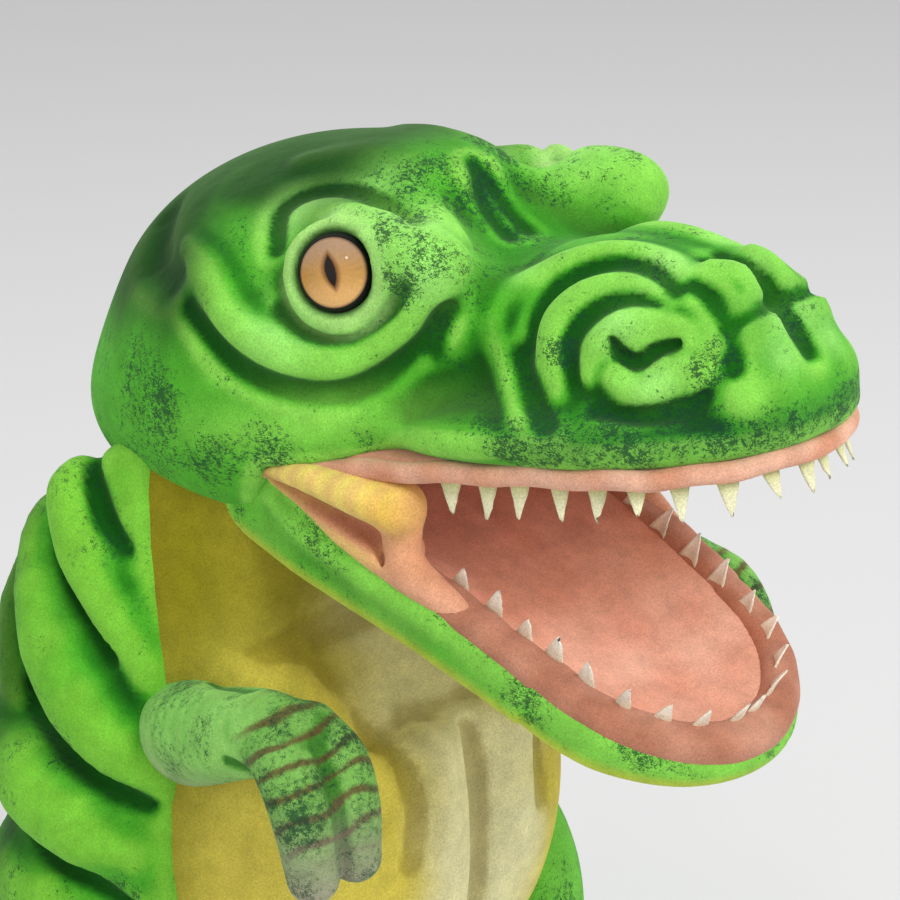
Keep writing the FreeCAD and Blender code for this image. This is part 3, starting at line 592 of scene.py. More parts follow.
def paint_head(points, clay):
    paint, bend = green_paint(points, clay, 1.0)
    x, y, z = np.abs(points[:, 0]), points[:, 1], points[:, 2]
    uneven = z + lumps(points, 40, 5) * 4
    crown = step_up(34, 58, uneven) * step_up(34, -6, y) * step_up(60, 40, x)
    crown = np.maximum(crown, step_up(-10, -46, y + z * 0.1) * step_up(2, 34, uneven))
    paint = tint(paint, CROWN, crown * 0.92)
    # lighter green on top of the brow, partly painted highlight
    paint = tint(paint, LIGHT, spot((x, y, z), (40, 36, 42), (17, 22, 14)) * 0.9)
    paint = tint(paint, LIGHT, spot((z, y), (-12, 2), (9, 40)) * 0.75)
    one_side = np.abs(points * (1, 0, 0)) + points * (0, 1, 1)
    # painted highlight on the bulge round each nostril
    nostril = np.exp(-((np.linalg.norm(one_side - (33, 116, 8), axis=1) / 15) ** 2))
    paint = tint(paint, LIGHT, nostril * np.clip(bend + 0.6, 0, 1) * 0.8)
    eye = np.linalg.norm(one_side - EYE, axis=1)
    paint = tint(paint, (168, 214, 124), step_up(23, 16, eye) * 0.75)
    paint = tint(paint, SHADOW, step_up(15.6, 13.2, eye) * 0.8)
    # painted highlight, strongest on bulges, over the lighter airbrush
    for middle, size in BRIGHT:
        near = round_spot(x, y, z, middle, size)
        paint = tint(paint, (150, 218, 108), near * np.clip(0.5 + bend, 0.1, 1) * 0.85)
    paint = tint(paint, DEEP, spot((x, y, z), (14, 138, 9), (9, 9, 13)) * 0.75)
    band = spot((z,), (-16,), (6,)) * step_up(58, 82, y)
    paint = tint(paint, DARK_GREEN, band * 0.45)
    paint = tint(paint, LIGHT, step_up(-21.5, -24.5, z) * step_up(40, 70, y) * 0.5)
    speckle = 0.27 + 0.20 * lumps(points, 30, 8)
    for middle, size, amount in BLOTCHES:
        if middle in RIGHT_ONLY:
            amount = amount * (points[:, 0] < 0)
        speckle += amount * round_spot(x, y, z, middle, size)
    speckle += 0.85 * band
    speckle += 0.55 * spot((y, z), (44, 34), (14, 12)) * step_up(30, 44, x)
    speckle += 0.5 * spot((y, z), (-48, -4), (16, 16))
    speckle += 0.5 * spot((z,), (-24,), (6,)) * step_up(20, -10, y)
    speckle += 0.35 * spot((y, z), (28, 50), (26, 12))
    speckle += 0.30 * step_up(0.1, -0.8, bend) * step_up(50, 70, y)
    speckle *= step_up(16, 22, eye) * 0.8 + 0.2
    return paint, np.clip(speckle * (1 - 0.5 * crown), 0, 1)


# ---------------------------------------------------------------- jaw
def rounded_slab(flat, height, middle, half, edge):
    """Distance to a plate: flat is the distance outside its outline, seen from above; edge rounds its rim."""
    a, b = flat + edge, np.abs(height - middle) - half + edge
    return np.hypot(np.maximum(a, 0), np.maximum(b, 0)) + np.minimum(np.maximum(a, b), 0) - edge


JAW_ALONG, JAW_DEPTH = (0, 32, 71, 113, 141, 164, 178), (29, 28, 25, 22.5, 21.5, 18, 15)


def sculpt_jaw():
    clay = Clay((-76, -20, -38), (76, 186, 22), 1.6)
    x, y, z = clay.grid()
    flat = np.maximum(lower_outline(x, np.maximum(y, 24.0)), -y - 6.0)
    deep = np.interp(y, JAW_ALONG, JAW_DEPTH)
    lip = np.interp(y, (0, 16, 34, 62, 84), (9.0, 7.5, 2.5, 0.0, -1.5))
    middle, half = (lip - deep) / 2, (lip + deep) / 2
    clay.d = rounded_slab(flat, z, middle, half, 8.5).astype(F)
    tray = rounded_slab(flat + 4.5, z, 3.0, 14.5, 3.0)
    clay.d = merged(clay.d, -tray, 2.0, -1).astype(F)
    clay.fold([(62, 10, -6), (64, 24, -9), (61, 50, -10), (57, 80, -9)], [2, 3, 3, 2], 5, 1.6)
    return clay


def paint_jaw(points, clay):
    paint, _ = green_paint(points, clay, 0.5)
    y, z = points[:, 1], points[:, 2]
    paint = tint(paint, (118, 186, 70), 0.5 + 0.2 * lumps(points, 26, 2))
    low = -np.interp(y, JAW_ALONG, JAW_DEPTH)
    edge = step_up(low + 9.0, low + 3.0, z)
    paint = tint(paint, (196, 204, 66), edge * 0.9)
    paint = tint(paint, YELLOW, step_up(low + 3.0, low + 0.2, z) * 0.9)
    speckle = 0.50 + 0.35 * lumps(points, 38, 11)
    return paint, np.clip(speckle * (1 - edge), 0, 0.95)


def sculpt_gum():
    clay = Clay((-66, 14, -14), (66, 182, 8), 1.4)
    x, y, z = clay.grid()
    flat = lower_outline(x, y)
    ring = np.maximum(np.abs(flat + 8.2) - 6.8, 26.0 - y)
    lift = 5.5 * np.clip((44.0 - y) / 44.0, 0, 1) ** 1.5
    wave = 0.35 * np.sin(x * 0.31 + y * 0.12) + 0.25 * np.sin(y * 0.43)
    clay.d = rounded_slab(ring, z, -4.0 + lift + wave, 5.2, 4.6).astype(F)
    return clay


def paint_gum(points, clay):
    paint = plain(points, (172, 114, 90))
    paint = tint(paint, (192, 140, 116), 0.4 + 0.4 * lumps(points, 24, 4))
    inner = -lower_outline(points[:, 0], points[:, 1])
    paint = tint(paint, (176, 112, 84), step_up(10.0, 15.5, inner) * 0.6)
    # painted shade, darker and redder towards the back of the mouth
    paint = tint(paint, MOUTH_SHADE_RED, step_up(80, 30, points[:, 1]) * 0.45)
    return paint, None


def sculpt_floor():
    clay = Clay((-54, 8, -26), (54, 172, 20), 1.8)
    x, y, z = clay.grid()
    flat = lower_outline(x, y) + 12.5
    r = np.clip(-flat / 30.0, 0, 1)
    dish = -3.0 - 5.0 * np.sin(r * math.pi / 2) - 0.8 * np.exp(-((x / 5.0) ** 2))
    dish = dish + 10.0 * np.clip((46.0 - y) / 40.0, 0, 1) ** 2
    clay.d = np.maximum(np.maximum(flat, np.abs(z - dish) - 1.6), 12.0 - y).astype(F)
    return clay


def paint_floor(points, clay):
    paint = plain(points, (232, 170, 142))
    # painted sheen, a paler patch on the mouth floor
    paint = tint(paint, (230, 180, 156), spot((points[:, 1],), (128,), (24,)) * 0.8)
    # painted shade, darker and redder towards the back of the mouth
    paint = tint(paint, MOUTH_SHADE_RED, step_up(96, 34, points[:, 1]) * 0.5)
    return tint(paint, (216, 146, 118), 0.3 + 0.3 * lumps(points, 30, 6)), None


# ---------------------------------------------------------------- lip, palate, throat, cheeks
def sculpt_lip():
    clay = Clay((-70, -26, -34), (70, 158, -18), 1.2)
    x, y, z = clay.grid()
    flat = upper_outline(x, y)
    ring = np.maximum(np.abs(flat + 3.6) - 3.4, -20.0 - y)
    clay.d = rounded_slab(ring, z, -26.6 + 0.4 * np.sin(y * 0.2 + x * 0.15), 3.3, 2.9).astype(F)
    return clay


def paint_lip(points, clay):
    paint = plain(points, (222, 172, 146))
    return tint(paint, (204, 142, 112), 0.4 + 0.4 * lumps(points, 18, 7)), None


def sculpt_palate():
    clay = Clay((-66, -18, -30), (66, 154, 2), 1.8)
    x, y, z = clay.grid()
    flat = upper_outline(x, y) + 4.0
    arch = -25.0 + 8.0 * roof_rise(x, y)
    clay.d = np.maximum(np.maximum(flat, np.abs(z - arch) - 1.4), -14.0 - y).astype(F)
    return clay


def paint_palate(points, clay):
    paint = plain(points, (236, 174, 148))
    # painted shade, darker and redder towards the back of the mouth
    return tint(paint, MOUTH_SHADE_RED, step_up(70, 20, points[:, 1]) * 0.5), None


def sculpt_throat():
    """The lining at the back of the mouth: a deep pocket, in the body frame."""
    clay = Clay((-62, -30, -80), (62, 60, 2), 2.0)
    x, y, z = clay.grid()
    up, down = math.tan(NOSE_UP), math.tan(CHIN_DOWN)
    middle = -30.0 + (up - down) / 2 * (y + HINGE_BACK)
    half = 3.0 + (up + down) / 2 * (y + HINGE_BACK)
    bowl = np.sqrt((x / 54.0) ** 2 + ((z - middle) / np.maximum(half + 8.0, 2.0)) ** 2)
    depth = -8.0 + 26.0 * np.clip(bowl, 0, 1.3) ** 3
    sheet = np.abs(y - depth) * 0.72 - 1.8
    clay.d = np.maximum(np.maximum(sheet, np.abs(z - middle) - half - 2.0), np.abs(x) - 52.0).astype(F)
    return clay


def paint_throat(points, clay):
    paint = plain(points, (184, 110, 84))
    # painted shade, darker deeper into the throat
    return tint(paint, (140, 76, 54), step_up(20, -6, points[:, 1])), None


def sculpt_cheeks():
    """The slack web at each corner of the mouth: a yellow roll above, pink folds below, in the body frame."""
    clay = Clay((-76, -26, -84), (76, 64, -8), 1.3)
    clay.stroke([(65, -13, -30), (65, 1, -28), (63, 13, -29), (60, 25, -31), (56, 35, -33)],
        [1.6, 4, 5.5, 7, 8], 3)
    clay.stroke([(56, 34, -33), (54, 34, -40), (54, 34, -47), (54, 37, -53), (53, 43, -57.5), (52, 52, -62),
        (51, 60, -65.5)], [8, 6.5, 6, 6, 5.6, 4.6, 3], 3)
    clay.stroke([(62, -12, -33), (60, 2, -38), (58, 14, -45), (56, 26, -50.5), (54, 37, -56),
        (53, 47, -60.5)], [1.6, 3.5, 4.8, 5.6, 5.5, 4], 2.5)
    clay.stroke([(58, -6, -33), (53, 8, -38), (50, 21, -43), (49, 30, -50)], [4, 6, 7, 7], 3)
    clay.groove([(65, -9, -33), (64, 5, -36), (62, 17, -40), (58, 26, -44), (58, 31, -52)],
        [1.2, 2, 2.4, 2.4, 1.6], 2)
    return clay


def paint_cheeks(points, clay):
    x, y, z = np.abs(points[:, 0]), points[:, 1], points[:, 2]
    paint = plain(points, (216, 156, 118))
    upper = step_up(-42, -34, z) * step_up(48, 34, y)
    paint = tint(paint, (232, 208, 108), upper * (0.8 + 0.2 * np.sin(y * 0.9 + 0.4 * x)))
    paint = tint(paint, (226, 176, 74), spot((y, z), (36, -33), (9, 8)) * 0.7)
    valley = z + 36 + 0.36 * (y - 2)
    paint = tint(paint, (226, 190, 112), step_up(36, 22, y) * step_up(-2, -5, valley) * 0.8)
    # painted shade in the crease along the fold
    paint = tint(paint, (160, 92, 70), np.exp(-((valley / 3.2) ** 2)) * step_up(36, 24, y) * 0.75)
    return tint(paint, (220, 162, 134), step_up(-50, -60, z) * 0.6), None


# ---------------------------------------------------------------- body
def sculpt_body():
    clay = Clay((-112, -182, -285), (112, 34, -18), 2.3)
    clay.ball((0, -50, -176), (69, 70, 90), 1)
    clay.ball((0, -70, -172), (90, 86, 92), 12)
    clay.ball((0, -50, -110), (62, 61, 100), 20)
    clay.ball((0, -72, -104), (78, 74, 92), 16)
    clay.ball((0, -68, -50), (70, 70, 72), 20)
    clay.ball((30, -14, -160), (34, 32, 62), 20)
    clay.limit(lambda x, y, z: z + 24.0 + 0.8 * np.maximum(-62.0 - y, 0), 12.0)

    def under_throat(x, y, z):
        return np.minimum(y + 14.0 - 0.28 * (z + 62.0), 40.0) + np.minimum(0.0, z + 96.0) * 1.4

    clay.limit(under_throat, 10.0)
    return clay


def seam_y(z):
    """How far ahead the seam between the green back and the yellow belly runs, at a height."""
    return np.interp(z, (-176, -138, -93, -42), (-36, -40, -49, -56))


def belly_folds(clay):
    clay.limit(lambda x, y, z: seam_y(z) - 6.0 - y, 2.0)
    clay.groove([(0.5, 30, -125), (0.5, 30, -160), (0.5, 24, -200), (0.5, 10, -240)], [2, 2.5, 2.5, 2], 6,
        1.8)
    clay.groove([(40, 4, -118), (34, 16, -128), (30, 20, -146), (34, 22, -166)], [3, 4, 4, 3], 7, 2.4)
    clay.fold([(50, -6, -100), (48, 4, -116), (46, 10, -134)], [4, 5, 4], 8, 3)
    clay.groove([(56, -14, -112), (50, -2, -122), (42, 6, -126)], [2, 3, 2], 5, 2)
    clay.fold([(22, 16, -116), (20, 24, -136), (18, 26, -160)], [4, 6, 4], 9, 2)
    return clay


def paint_belly(points, clay):
    x, y, z = np.abs(points[:, 0]), points[:, 1], points[:, 2]
    bend = clay.curl(points, 2) * 16
    paint = plain(points, CREAM)
    side = step_up(14, 44, x + lumps(points, 50, 9) * 5)
    paint = tint(paint, YELLOW, side * 0.85)
    # painted shadow, darker olive towards the back of the belly's sides
    paint = tint(paint, (116, 116, 6), step_up(-20, -44, y) * 0.7)
    # painted shade in the hollows of the folds
    paint = tint(paint, (140, 122, 36), step_up(0.1, -0.8, bend) * 0.5)
    # painted shadow under the jaw, darker olive towards the top
    return tint(paint, (128, 120, 12), step_up(-112, -72, z) * 0.75), None


def back_folds(clay):
    """The green back stands a little proud of the belly, and hangs in slack diagonal folds."""
    clay.d -= 2.2
    for points, radii in (
        ([(46, -108, -44), (60, -97, -42), (68, -90, -48), (71, -85, -56), (73, -78, -70), (75, -66, -86),
            (75, -54, -104)], [3, 7, 10, 11, 11, 9, 5]),
        ([(22, -132, -52), (44, -120, -62), (62, -106, -74), (70, -97, -90), (75, -89, -104), (78, -77, -118),
            (80, -62, -130), (78, -46, -138)], [2, 6, 11, 17, 19, 18, 14, 7]),
        ([(8, -150, -118), (30, -144, -124), (54, -130, -138), (65, -124, -148), (82, -96, -154),
            (88, -72, -159), (87, -53, -163)], [2, 7, 13, 16, 17, 15, 8]),
        ([(6, -156, -186), (34, -148, -192), (60, -132, -196), (80, -106, -194), (88, -84, -191),
            (88, -62, -196)], [2, 7, 12, 16, 15, 8]),
        ([(8, -142, -80), (30, -140, -94), (50, -128, -110), (60, -116, -132), (62, -108, -146)],
            [2, 7, 11, 8, 3]),
    ):
        clay.fold(points, radii, 6, 7.0)
    for points, radii in (
        ([(66, -92, -56), (72, -90, -64), (75, -81, -74), (77, -73, -85), (78, -62, -98)],
            [1.5, 2.4, 2.8, 2.8, 1.6]),
        ([(68, -84, -40), (72, -78, -50), (75, -71, -58), (75, -62, -65)], [2, 3.5, 3.5, 2]),
        ([(68, -112, -128), (76, -103, -133), (84, -80, -137), (85, -65, -142), (83, -46, -147)],
            [2, 3, 3.2, 3, 2]),
        ([(70, -120, -164), (82, -106, -166), (90, -84, -173), (91, -67, -177), (88, -52, -183)],
            [2, 3, 3.2, 3, 2]),
        ([(62, -86, -36), (52, -100, -44), (34, -114, -52)], [2, 3, 2]),
    ):
        clay.groove(points, radii, 4, 4.0)
    clay.limit(lambda x, y, z: y - seam_y(z), 6.0)
    clay.limit(lambda x, y, z: z + 26.0 + 0.7 * np.maximum(-70.0 - y, 0), 10.0)
    return clay


def paint_back(points, clay):
    paint, bend = green_paint(points, clay, 0.9)
    ridge = step_up(0.1, 1.0, bend)
    # painted highlight on the ridges of the folds
    paint = tint(paint, (118, 190, 52), ridge * 0.75)
    spine = step_up(-96, -122, points[:, 1])
    paint = tint(paint, CROWN, spine * 0.7)
    speckle = 0.20 + 0.25 * lumps(points, 34, 12) + 0.15 * step_up(-84, -110, points[:, 1])
    return paint, np.clip(speckle, 0, 0.7)


# ---------------------------------------------------------------- arms, legs, tail
def sculpt_arm():
    """The right arm, in the body frame, made on the positive side."""
    clay = Clay((52, -76, -156), (110, 52, -84), 1.3, both=False)
    clay.stroke([(66, -46, -124), (75, -34, -121), (83, -12, -112), (87, 6, -105), (87, 16, -104)],
        [17, 17, 15, 13.5, 12], 4)
    clay.stroke([(91, 12, -104), (96, 24, -110), (97, 31, -124), (95, 33, -143)], [9.5, 10, 9.5, 8.2], 4)
    clay.stroke([(79, 18, -104), (80, 30, -111), (81, 36, -124), (80, 37, -140)], [9.5, 10, 9.5, 8.2], 2.5)
    clay.groove([(70, -30, -104), (80, -16, -100), (86, 0, -94)], [1.2, 1.8, 1.2], 4, 1.2)
    clay.groove([(97, 2, -112), (99, 10, -118), (95, 16, -120), (86, 18, -119)], [1.6, 2.4, 2.2, 1.6], 4, 2)
    return clay


def paint_arm(points, clay):
    bend = clay.curl(points, 2) * 12
    paint = plain(points, (98, 172, 64))
    # painted highlight where the arm bulges, painted shade in its creases
    paint = tint(paint, (150, 208, 106), step_up(0.2, 1.2, bend) * 0.8)
    paint = tint(paint, (36, 100, 30), step_up(0.6, -0.3, bend) * 0.7)
    down = step_up(-112, -142, points[:, 2])
    hand = step_up(2, 16, points[:, 1])
    paint = tint(paint, (70, 118, 44), hand * 0.4)
    along = points[:, 1] * 0.55 - points[:, 2] * 0.85 + lumps(points, 22, 14) * 1.1
    stripe = step_up(0.45, 0.85, np.sin(along * 2 * math.pi / 8.0)) * hand * step_up(-138, -128, points[:, 2])
    paint = tint(paint, (92, 62, 44), stripe * 0.85)
    paint = tint(paint, (150, 138, 126), down * 0.7)
    paint = tint(paint, (172, 160, 146), step_up(-138, -150, points[:, 2]) * 0.7)
    return paint, np.clip(0.5 + 0.3 * lumps(points, 22, 15) + 0.25 * hand, 0, 1)


FOOT_X, FOOT_Y, SOLE_HALF = 57, -6, (29.5, 53.0)  # a foot's middle, and half its sole's width and length


def sculpt_leg():
    clay = Clay((18, -84, -324), (98, 54, -158), 1.9, both=False)
    clay.ball((58, -30, -228), (31, 43, 59), 1)
    clay.stroke([(57, -34, -262), (57, -36, -290), (57, -30, -302)], [24, 22, 22], 14)
    clay.ball((FOOT_X, FOOT_Y, -312), (29, 50, 27), 16)
    for side in (-1, 0, 1):
        clay.ball((FOOT_X + side * 15, 30 - abs(side) * 5, -314), (10.5, 16, 13), 4)
        if side:
            between = FOOT_X + side * 8
            clay.groove([(between, 44, -318), (between, 38, -300), (between - side, 22, -290)], [2, 2.4, 1.6],
                3, 2)
    clay.groove([(82, -64, -236), (88, -38, -262), (84, -8, -266), (70, 6, -262)], [2, 3, 3, 2], 6, 2.4)
    clay.groove([(80, -56, -288), (82, -34, -284), (78, -10, -290)], [2, 3, 2], 5, 2)
    clay.limit(lambda x, y, z: -322.0 - z, 3.0)
    return clay


def paint_leg(points, clay):
    paint, _ = green_paint(points, clay, 0.9)
    paint = tint(paint, (120, 196, 80), 0.3)
    paint = tint(paint, (190, 190, 90), step_up(-304, -318, points[:, 2]) * 0.7)
    speckle = 0.26 + 0.24 * lumps(points, 32, 21) + 0.2 * step_up(-180, -200, points[:, 2])
    return paint, np.clip(speckle, 0, 0.7)


def sculpt_sole():
    """The flat pad under a foot, its edge rolled where the seam pulls it in."""
    clay = Clay((22, -66, -329), (92, 54, -316), 1.2, both=False)
    clay.ball((FOOT_X, FOOT_Y, -322), (*SOLE_HALF, 34), 1)
    for toe in (-1, 1):
        clay.ball((FOOT_X + toe * 14, 27, -322), (9.5, 15, 20), 4)
    clay.limit(lambda x, y, z: z + 321.0, 1.4)
    clay.limit(lambda x, y, z: -324.9 - z, 1.4)
    return clay


def paint_sole(points, clay):
    paint = tint(plain(points, YELLOW), CREAM, 0.25 + 0.2 * lumps(points, 26, 8))
    rim = np.hypot((points[:, 0] - FOOT_X) / SOLE_HALF[0], (points[:, 1] - FOOT_Y) / SOLE_HALF[1])
    paint = tint(paint, (128, 148, 50), step_up(0.84, 0.97, rim) * 0.6)
    return paint, np.clip(0.12 + 0.2 * lumps(points, 30, 17), 0, 0.4)


# The tail's middle line, from the body back: how far ahead, how far up, and the radius there.
TAIL = [(-92, -226, 40), (-130, -246, 38.5), (-160, -260, 35.5), (-190, -276, 30.5), (-220, -290, 25.5),
        (-245, -301, 21.3), (-270, -308, 16), (-290, -312, 11.6), (-303, -315.5, 8)]


def sculpt_tail():
    clay = Clay((-48, -318, -324.5), (48, -58, -176), 2.4)
    clay.stroke([(0, y, z) for y, z, _ in TAIL], [r for _, _, r in TAIL], 2)
    for y in (-150, -186, -220, -250):
        reach = 34 + (y + 150) * 0.16
        top = -262 + (-150 - y) * -0.42
        clay.groove([(4, y - 6, top + reach), (reach * 0.75, y, top + reach * 0.55), (reach, y + 6, top)],
            [1.6, 2.4, 1.4], 6, 1.6)
    clay.limit(lambda x, y, z: -324.0 - z, 2.0)
    return clay


def paint_tail(points, clay):
    paint, _ = green_paint(points, clay, 0.8)
    y, z = points[:, 1], points[:, 2]
    ahead, up, radii = zip(*TAIL)
    middle, radius = (np.interp(-y, [-a for a in ahead], values) for values in (up, radii))
    height = (z - middle) / radius
    paint = tint(paint, CROWN, step_up(0.45, 0.95, height) * 0.7)
    paint = tint(paint, YELLOW, step_up(-0.55, -0.85, height) * 0.85)
    speckle = (0.3 + 0.24 * lumps(points, 32, 31)) * step_up(-0.7, -0.3, height)
    return paint, np.clip(speckle, 0, 0.75)


# ---------------------------------------------------------------- teeth
def outline_point(rear_half, rear, front, radius, inset, reach):
    """The point and outward direction at a length along one side of a mouth outline."""
    side_length = math.hypot(front - rear, rear_half - radius)
    if reach < side_length:
        part = reach / side_length
        lean = math.atan2(rear_half - radius, front - rear)
        point = np.array((rear_half - inset + (radius - rear_half) * part, rear + (front - rear) * part))
        return point, np.array((math.cos(lean), math.sin(lean)))
    turn = (reach - side_length) / (radius - inset)
    outward = np.array((math.cos(turn), math.sin(turn)))
    return np.array((0, front)) + outward * (radius - inset), outward


def tooth_shape(rng, tall, wide, hang):
    """One cut-felt tooth: a tapering curl of cloth with a ragged tip, as a grid of points and faces."""
    rows, columns, thick = 9, 7, 0.55
    curl, lean, twist = rng.uniform(0.8, 2.6), rng.uniform(-0.8, 0.8), rng.uniform(-0.25, 0.25)
    front, back = [], []
    for i in range(rows):
        t = i / (rows - 1)
        half = wide / 2 * (1 - t) ** 0.85 + 0.35
        for j in range(columns):
            u = 2 * j / (columns - 1) - 1
            ragged = rng.normal(0, 0.10) * (abs(u) == 1) + rng.normal(0, 0.35) * (i == rows - 1)
            cup = -0.9 * u * u * (1 - t)
            across = u * half + lean * t * t + ragged * 0.6
            out = curl * t * t + cup + twist * u * half * t
            front.append((across, out + thick * (1 - 0.5 * t), t * tall + ragged))
            back.append((across, out - thick * (1 - 0.5 * t), t * tall + ragged))
    points = np.array(front + back, F)
    n, grid = rows * columns, np.arange(rows * columns).reshape(rows, columns)
    a, b, c, d = grid[:-1, :-1], grid[:-1, 1:], grid[1:, 1:], grid[1:, :-1]
    sheets = np.stack((np.stack((a, b, c, d), -1), n + np.stack((a, d, c, b), -1)), 2).reshape(-1, 4)
    rim = np.concatenate((grid[:, 0], grid[-1, 1:], grid[-2::-1, -1], grid[0, -2:0:-1]))
    after = np.roll(rim, -1)
    points[:, 2] *= hang
    return points, np.concatenate((sheets, np.stack((rim, after, n + after, n + rim), 1)))


def teeth_row(name, outline, inset, reaches, tall, wide, hang, base, place, seed, tip, root):
    """A row of teeth along both sides of a mouth outline, standing up with hang 1 or hanging with -1."""
    rng = np.random.default_rng(seed)
    all_points, all_faces, heights, count = [], [], [], 0
    for reach in reaches:
        for side in (-1, 1):
            point, outward = outline_point(*outline, inset, reach + rng.uniform(-1.2, 1.2))
            size = rng.uniform(0.85, 1.12) * tall
            points, faces = tooth_shape(rng, size, wide * rng.uniform(0.85, 1.15), hang)
            along = np.array((-outward[1], outward[0]))
            flat = point + points[:, :1] * along + points[:, 1:2] * outward
            heights.append(np.abs(points[:, 2]) / tall)
            all_points.append(np.column_stack((flat[:, 0] * side, flat[:, 1], points[:, 2] + base)))
            all_faces.append(faces + count)
            count += len(points)
    points = np.concatenate(all_points)
    piece = make_mesh(name, points, np.concatenate(all_faces), place)
    paint_on(piece, FELT, tint(plain(points, root), tip, step_up(0.1, 0.8, np.concatenate(heights))))
    return piece


# ---------------------------------------------------------------- eyes
def eye_dome(name, side):
    """The painted amber eye under its clear dome, in one gloss-coated cap."""
    out, seat = EYE_OUT * (side, 1, 1), EYE * (side, 1, 1)
    rise = np.array((0, 0, 1.0)) - out * out[2]
    rise /= np.linalg.norm(rise)
    across = np.cross(rise, out)
    radius, tall, base = 11.0, 4.4, 5.3  # the cap's radius, its bulge, and how far out of the seat it starts
    curve = (radius**2 + tall**2) / (2 * tall)
    rings, around = 34, 72
    flat, points = [(0.0, 0.0)], [seat + out * (base + tall)]
    for i in range(1, rings + 1):
        r = radius * i / rings
        height = base + tall - curve + math.sqrt(curve**2 - r**2)
        for k in range(around):
            a = 2 * math.pi * k / around
            flat.append((r * math.cos(a), r * math.sin(a)))
            points.append(seat + out * height + across * (r * math.cos(a)) + rise * (r * math.sin(a)))
    faces = [(0, 1 + k, 1 + (k + 1) % around) for k in range(around)]
    for i in range(rings - 1):
        for k in range(around):
            a, b = 1 + i * around + k, 1 + i * around + (k + 1) % around
            faces.append((a + around, b + around, b, a))
    mesh = bpy.data.meshes.new(name)
    mesh.from_pydata(head_place(np.array(points, F)).tolist(), [], faces)
    mesh.update()
    piece = new_object(name, mesh)
    outward = Vector(head_place((seat + out)[None, :])[0] - head_place(seat[None, :])[0])
    if mesh.polygons[0].normal.dot(outward) < 0:
        mesh.flip_normals()
    mesh.shade_smooth()
    paint_on(piece, EYE_AMBER, iris_paint(np.array(flat, F), radius, side))
    return piece


def iris_paint(flat, radius, side):
    """A streaky iris, greyed above by a painted reflection and brightened below by painted light, with a slit
    pupil that leans towards the snout.
    """
    r = np.hypot(flat[:, 0], flat[:, 1])
    turn = np.arctan2(flat[:, 1], flat[:, 0])
    paint = plain(flat, (184, 138, 72))
    streak = 0.5 + 0.5 * np.sin(turn * 37 + 2.0 * np.sin(turn * 11))
    paint = tint(paint, (150, 108, 62), streak * 0.3 * step_up(2, 8, r))
    # painted light, brighter in the lower iris
    paint = tint(paint, (228, 176, 108), step_up(0.1, -0.8, flat[:, 1] / radius) * 0.8)
    # painted reflection, grey over the upper iris
    paint = tint(paint, (158, 130, 108), step_up(-0.1, 0.8, flat[:, 1] / radius) * 0.8)
    front = flat[:, 0] * -side
    # painted light, orange at the lower front of the iris
    paint = tint(paint, (196, 132, 20), step_up(6.5, 10, front) * step_up(4.0, -2.0, flat[:, 1]) * 0.8)
    lean = 0.17
    across_slit, along_slit = front - lean * flat[:, 1] + 0.5, flat[:, 1] - 0.4
    pupil = np.abs(across_slit) / 1.75 + (along_slit / 5.0) ** 2
    paint = tint(paint, (112, 66, 16), step_up(2.1, 1.05, pupil) * 0.85)
    paint = tint(paint, (22, 12, 8), step_up(1.08, 0.92, pupil))
    return tint(paint, (70, 40, 22), step_up(9.8, 10.8, r) * 0.9)


def eye_amber():
    material, tree, shader = new_material("eye_amber_gloss", (0.6, 0.35, 0.1), 0.4, Coat_Weight=0.6,
                                          Coat_Roughness=0.03, Specular_IOR_Level=0.1)
    paint = node(tree, "ShaderNodeAttribute", attribute_name="airbrush_and_painted_light").outputs["Color"]
    grain = spread(tree, noise(tree, object_place(tree), 1400.0), 0.3, 0.7, 0.9, 1.1)
    tree.links.new(shaded(tree, paint, grain), shader.inputs["Base Color"])
    return material


def eye_black():
    material, tree, shader = new_material("eye_black_gloss", (0.003, 0.003, 0.003), 0.4,
        Specular_IOR_Level=0.25)
    grain = noise(tree, object_place(tree), 900.0)
    tree.links.new(spread(tree, grain, 0.3, 0.7, 0.34, 0.48), shader.inputs["Roughness"])
    bumped(tree, shader, grain, 0.2, 0.0002)
    return material


EYE_AMBER, EYE_BLACK = eye_amber(), eye_black()


def recolour(node_name, material):
    for slot in bpy.data.objects[node_name].material_slots:
        slot.material = material


# ---------------------------------------------------------------- assembly
SIDES = (("right", -1), ("left", 1))
NECK_RING = -88.0  # the height of the neck's base, in the body frame
SHOULDER = (-45.0, -118.0)  # how far ahead and up the arms' hinges are


def spot_key(vertex):
    return tuple(round(c, 6) for c in vertex.co)


def point(x, ahead, up):
    return tuple(float(v) for v in body_place(np.array([(x, ahead, up)], F))[0])


def dress(piece, slot, on, nodes, fill=None):
    """Hides the CAD parts a piece stands for, and hangs it on the body it rides, or on a span only bakes its
    placing in; the slot and the filling are not used.
    """
    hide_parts(*nodes)
    if isinstance(on, str):
        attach(piece, on)
    else:
        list(on[:2])
        point(*on[2])
        point(*on[3])
        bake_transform(piece)


def sew(name, clay, place, painter, cloth, *said):
    dress(sculpted(name, clay, place, painter, cloth), *said)


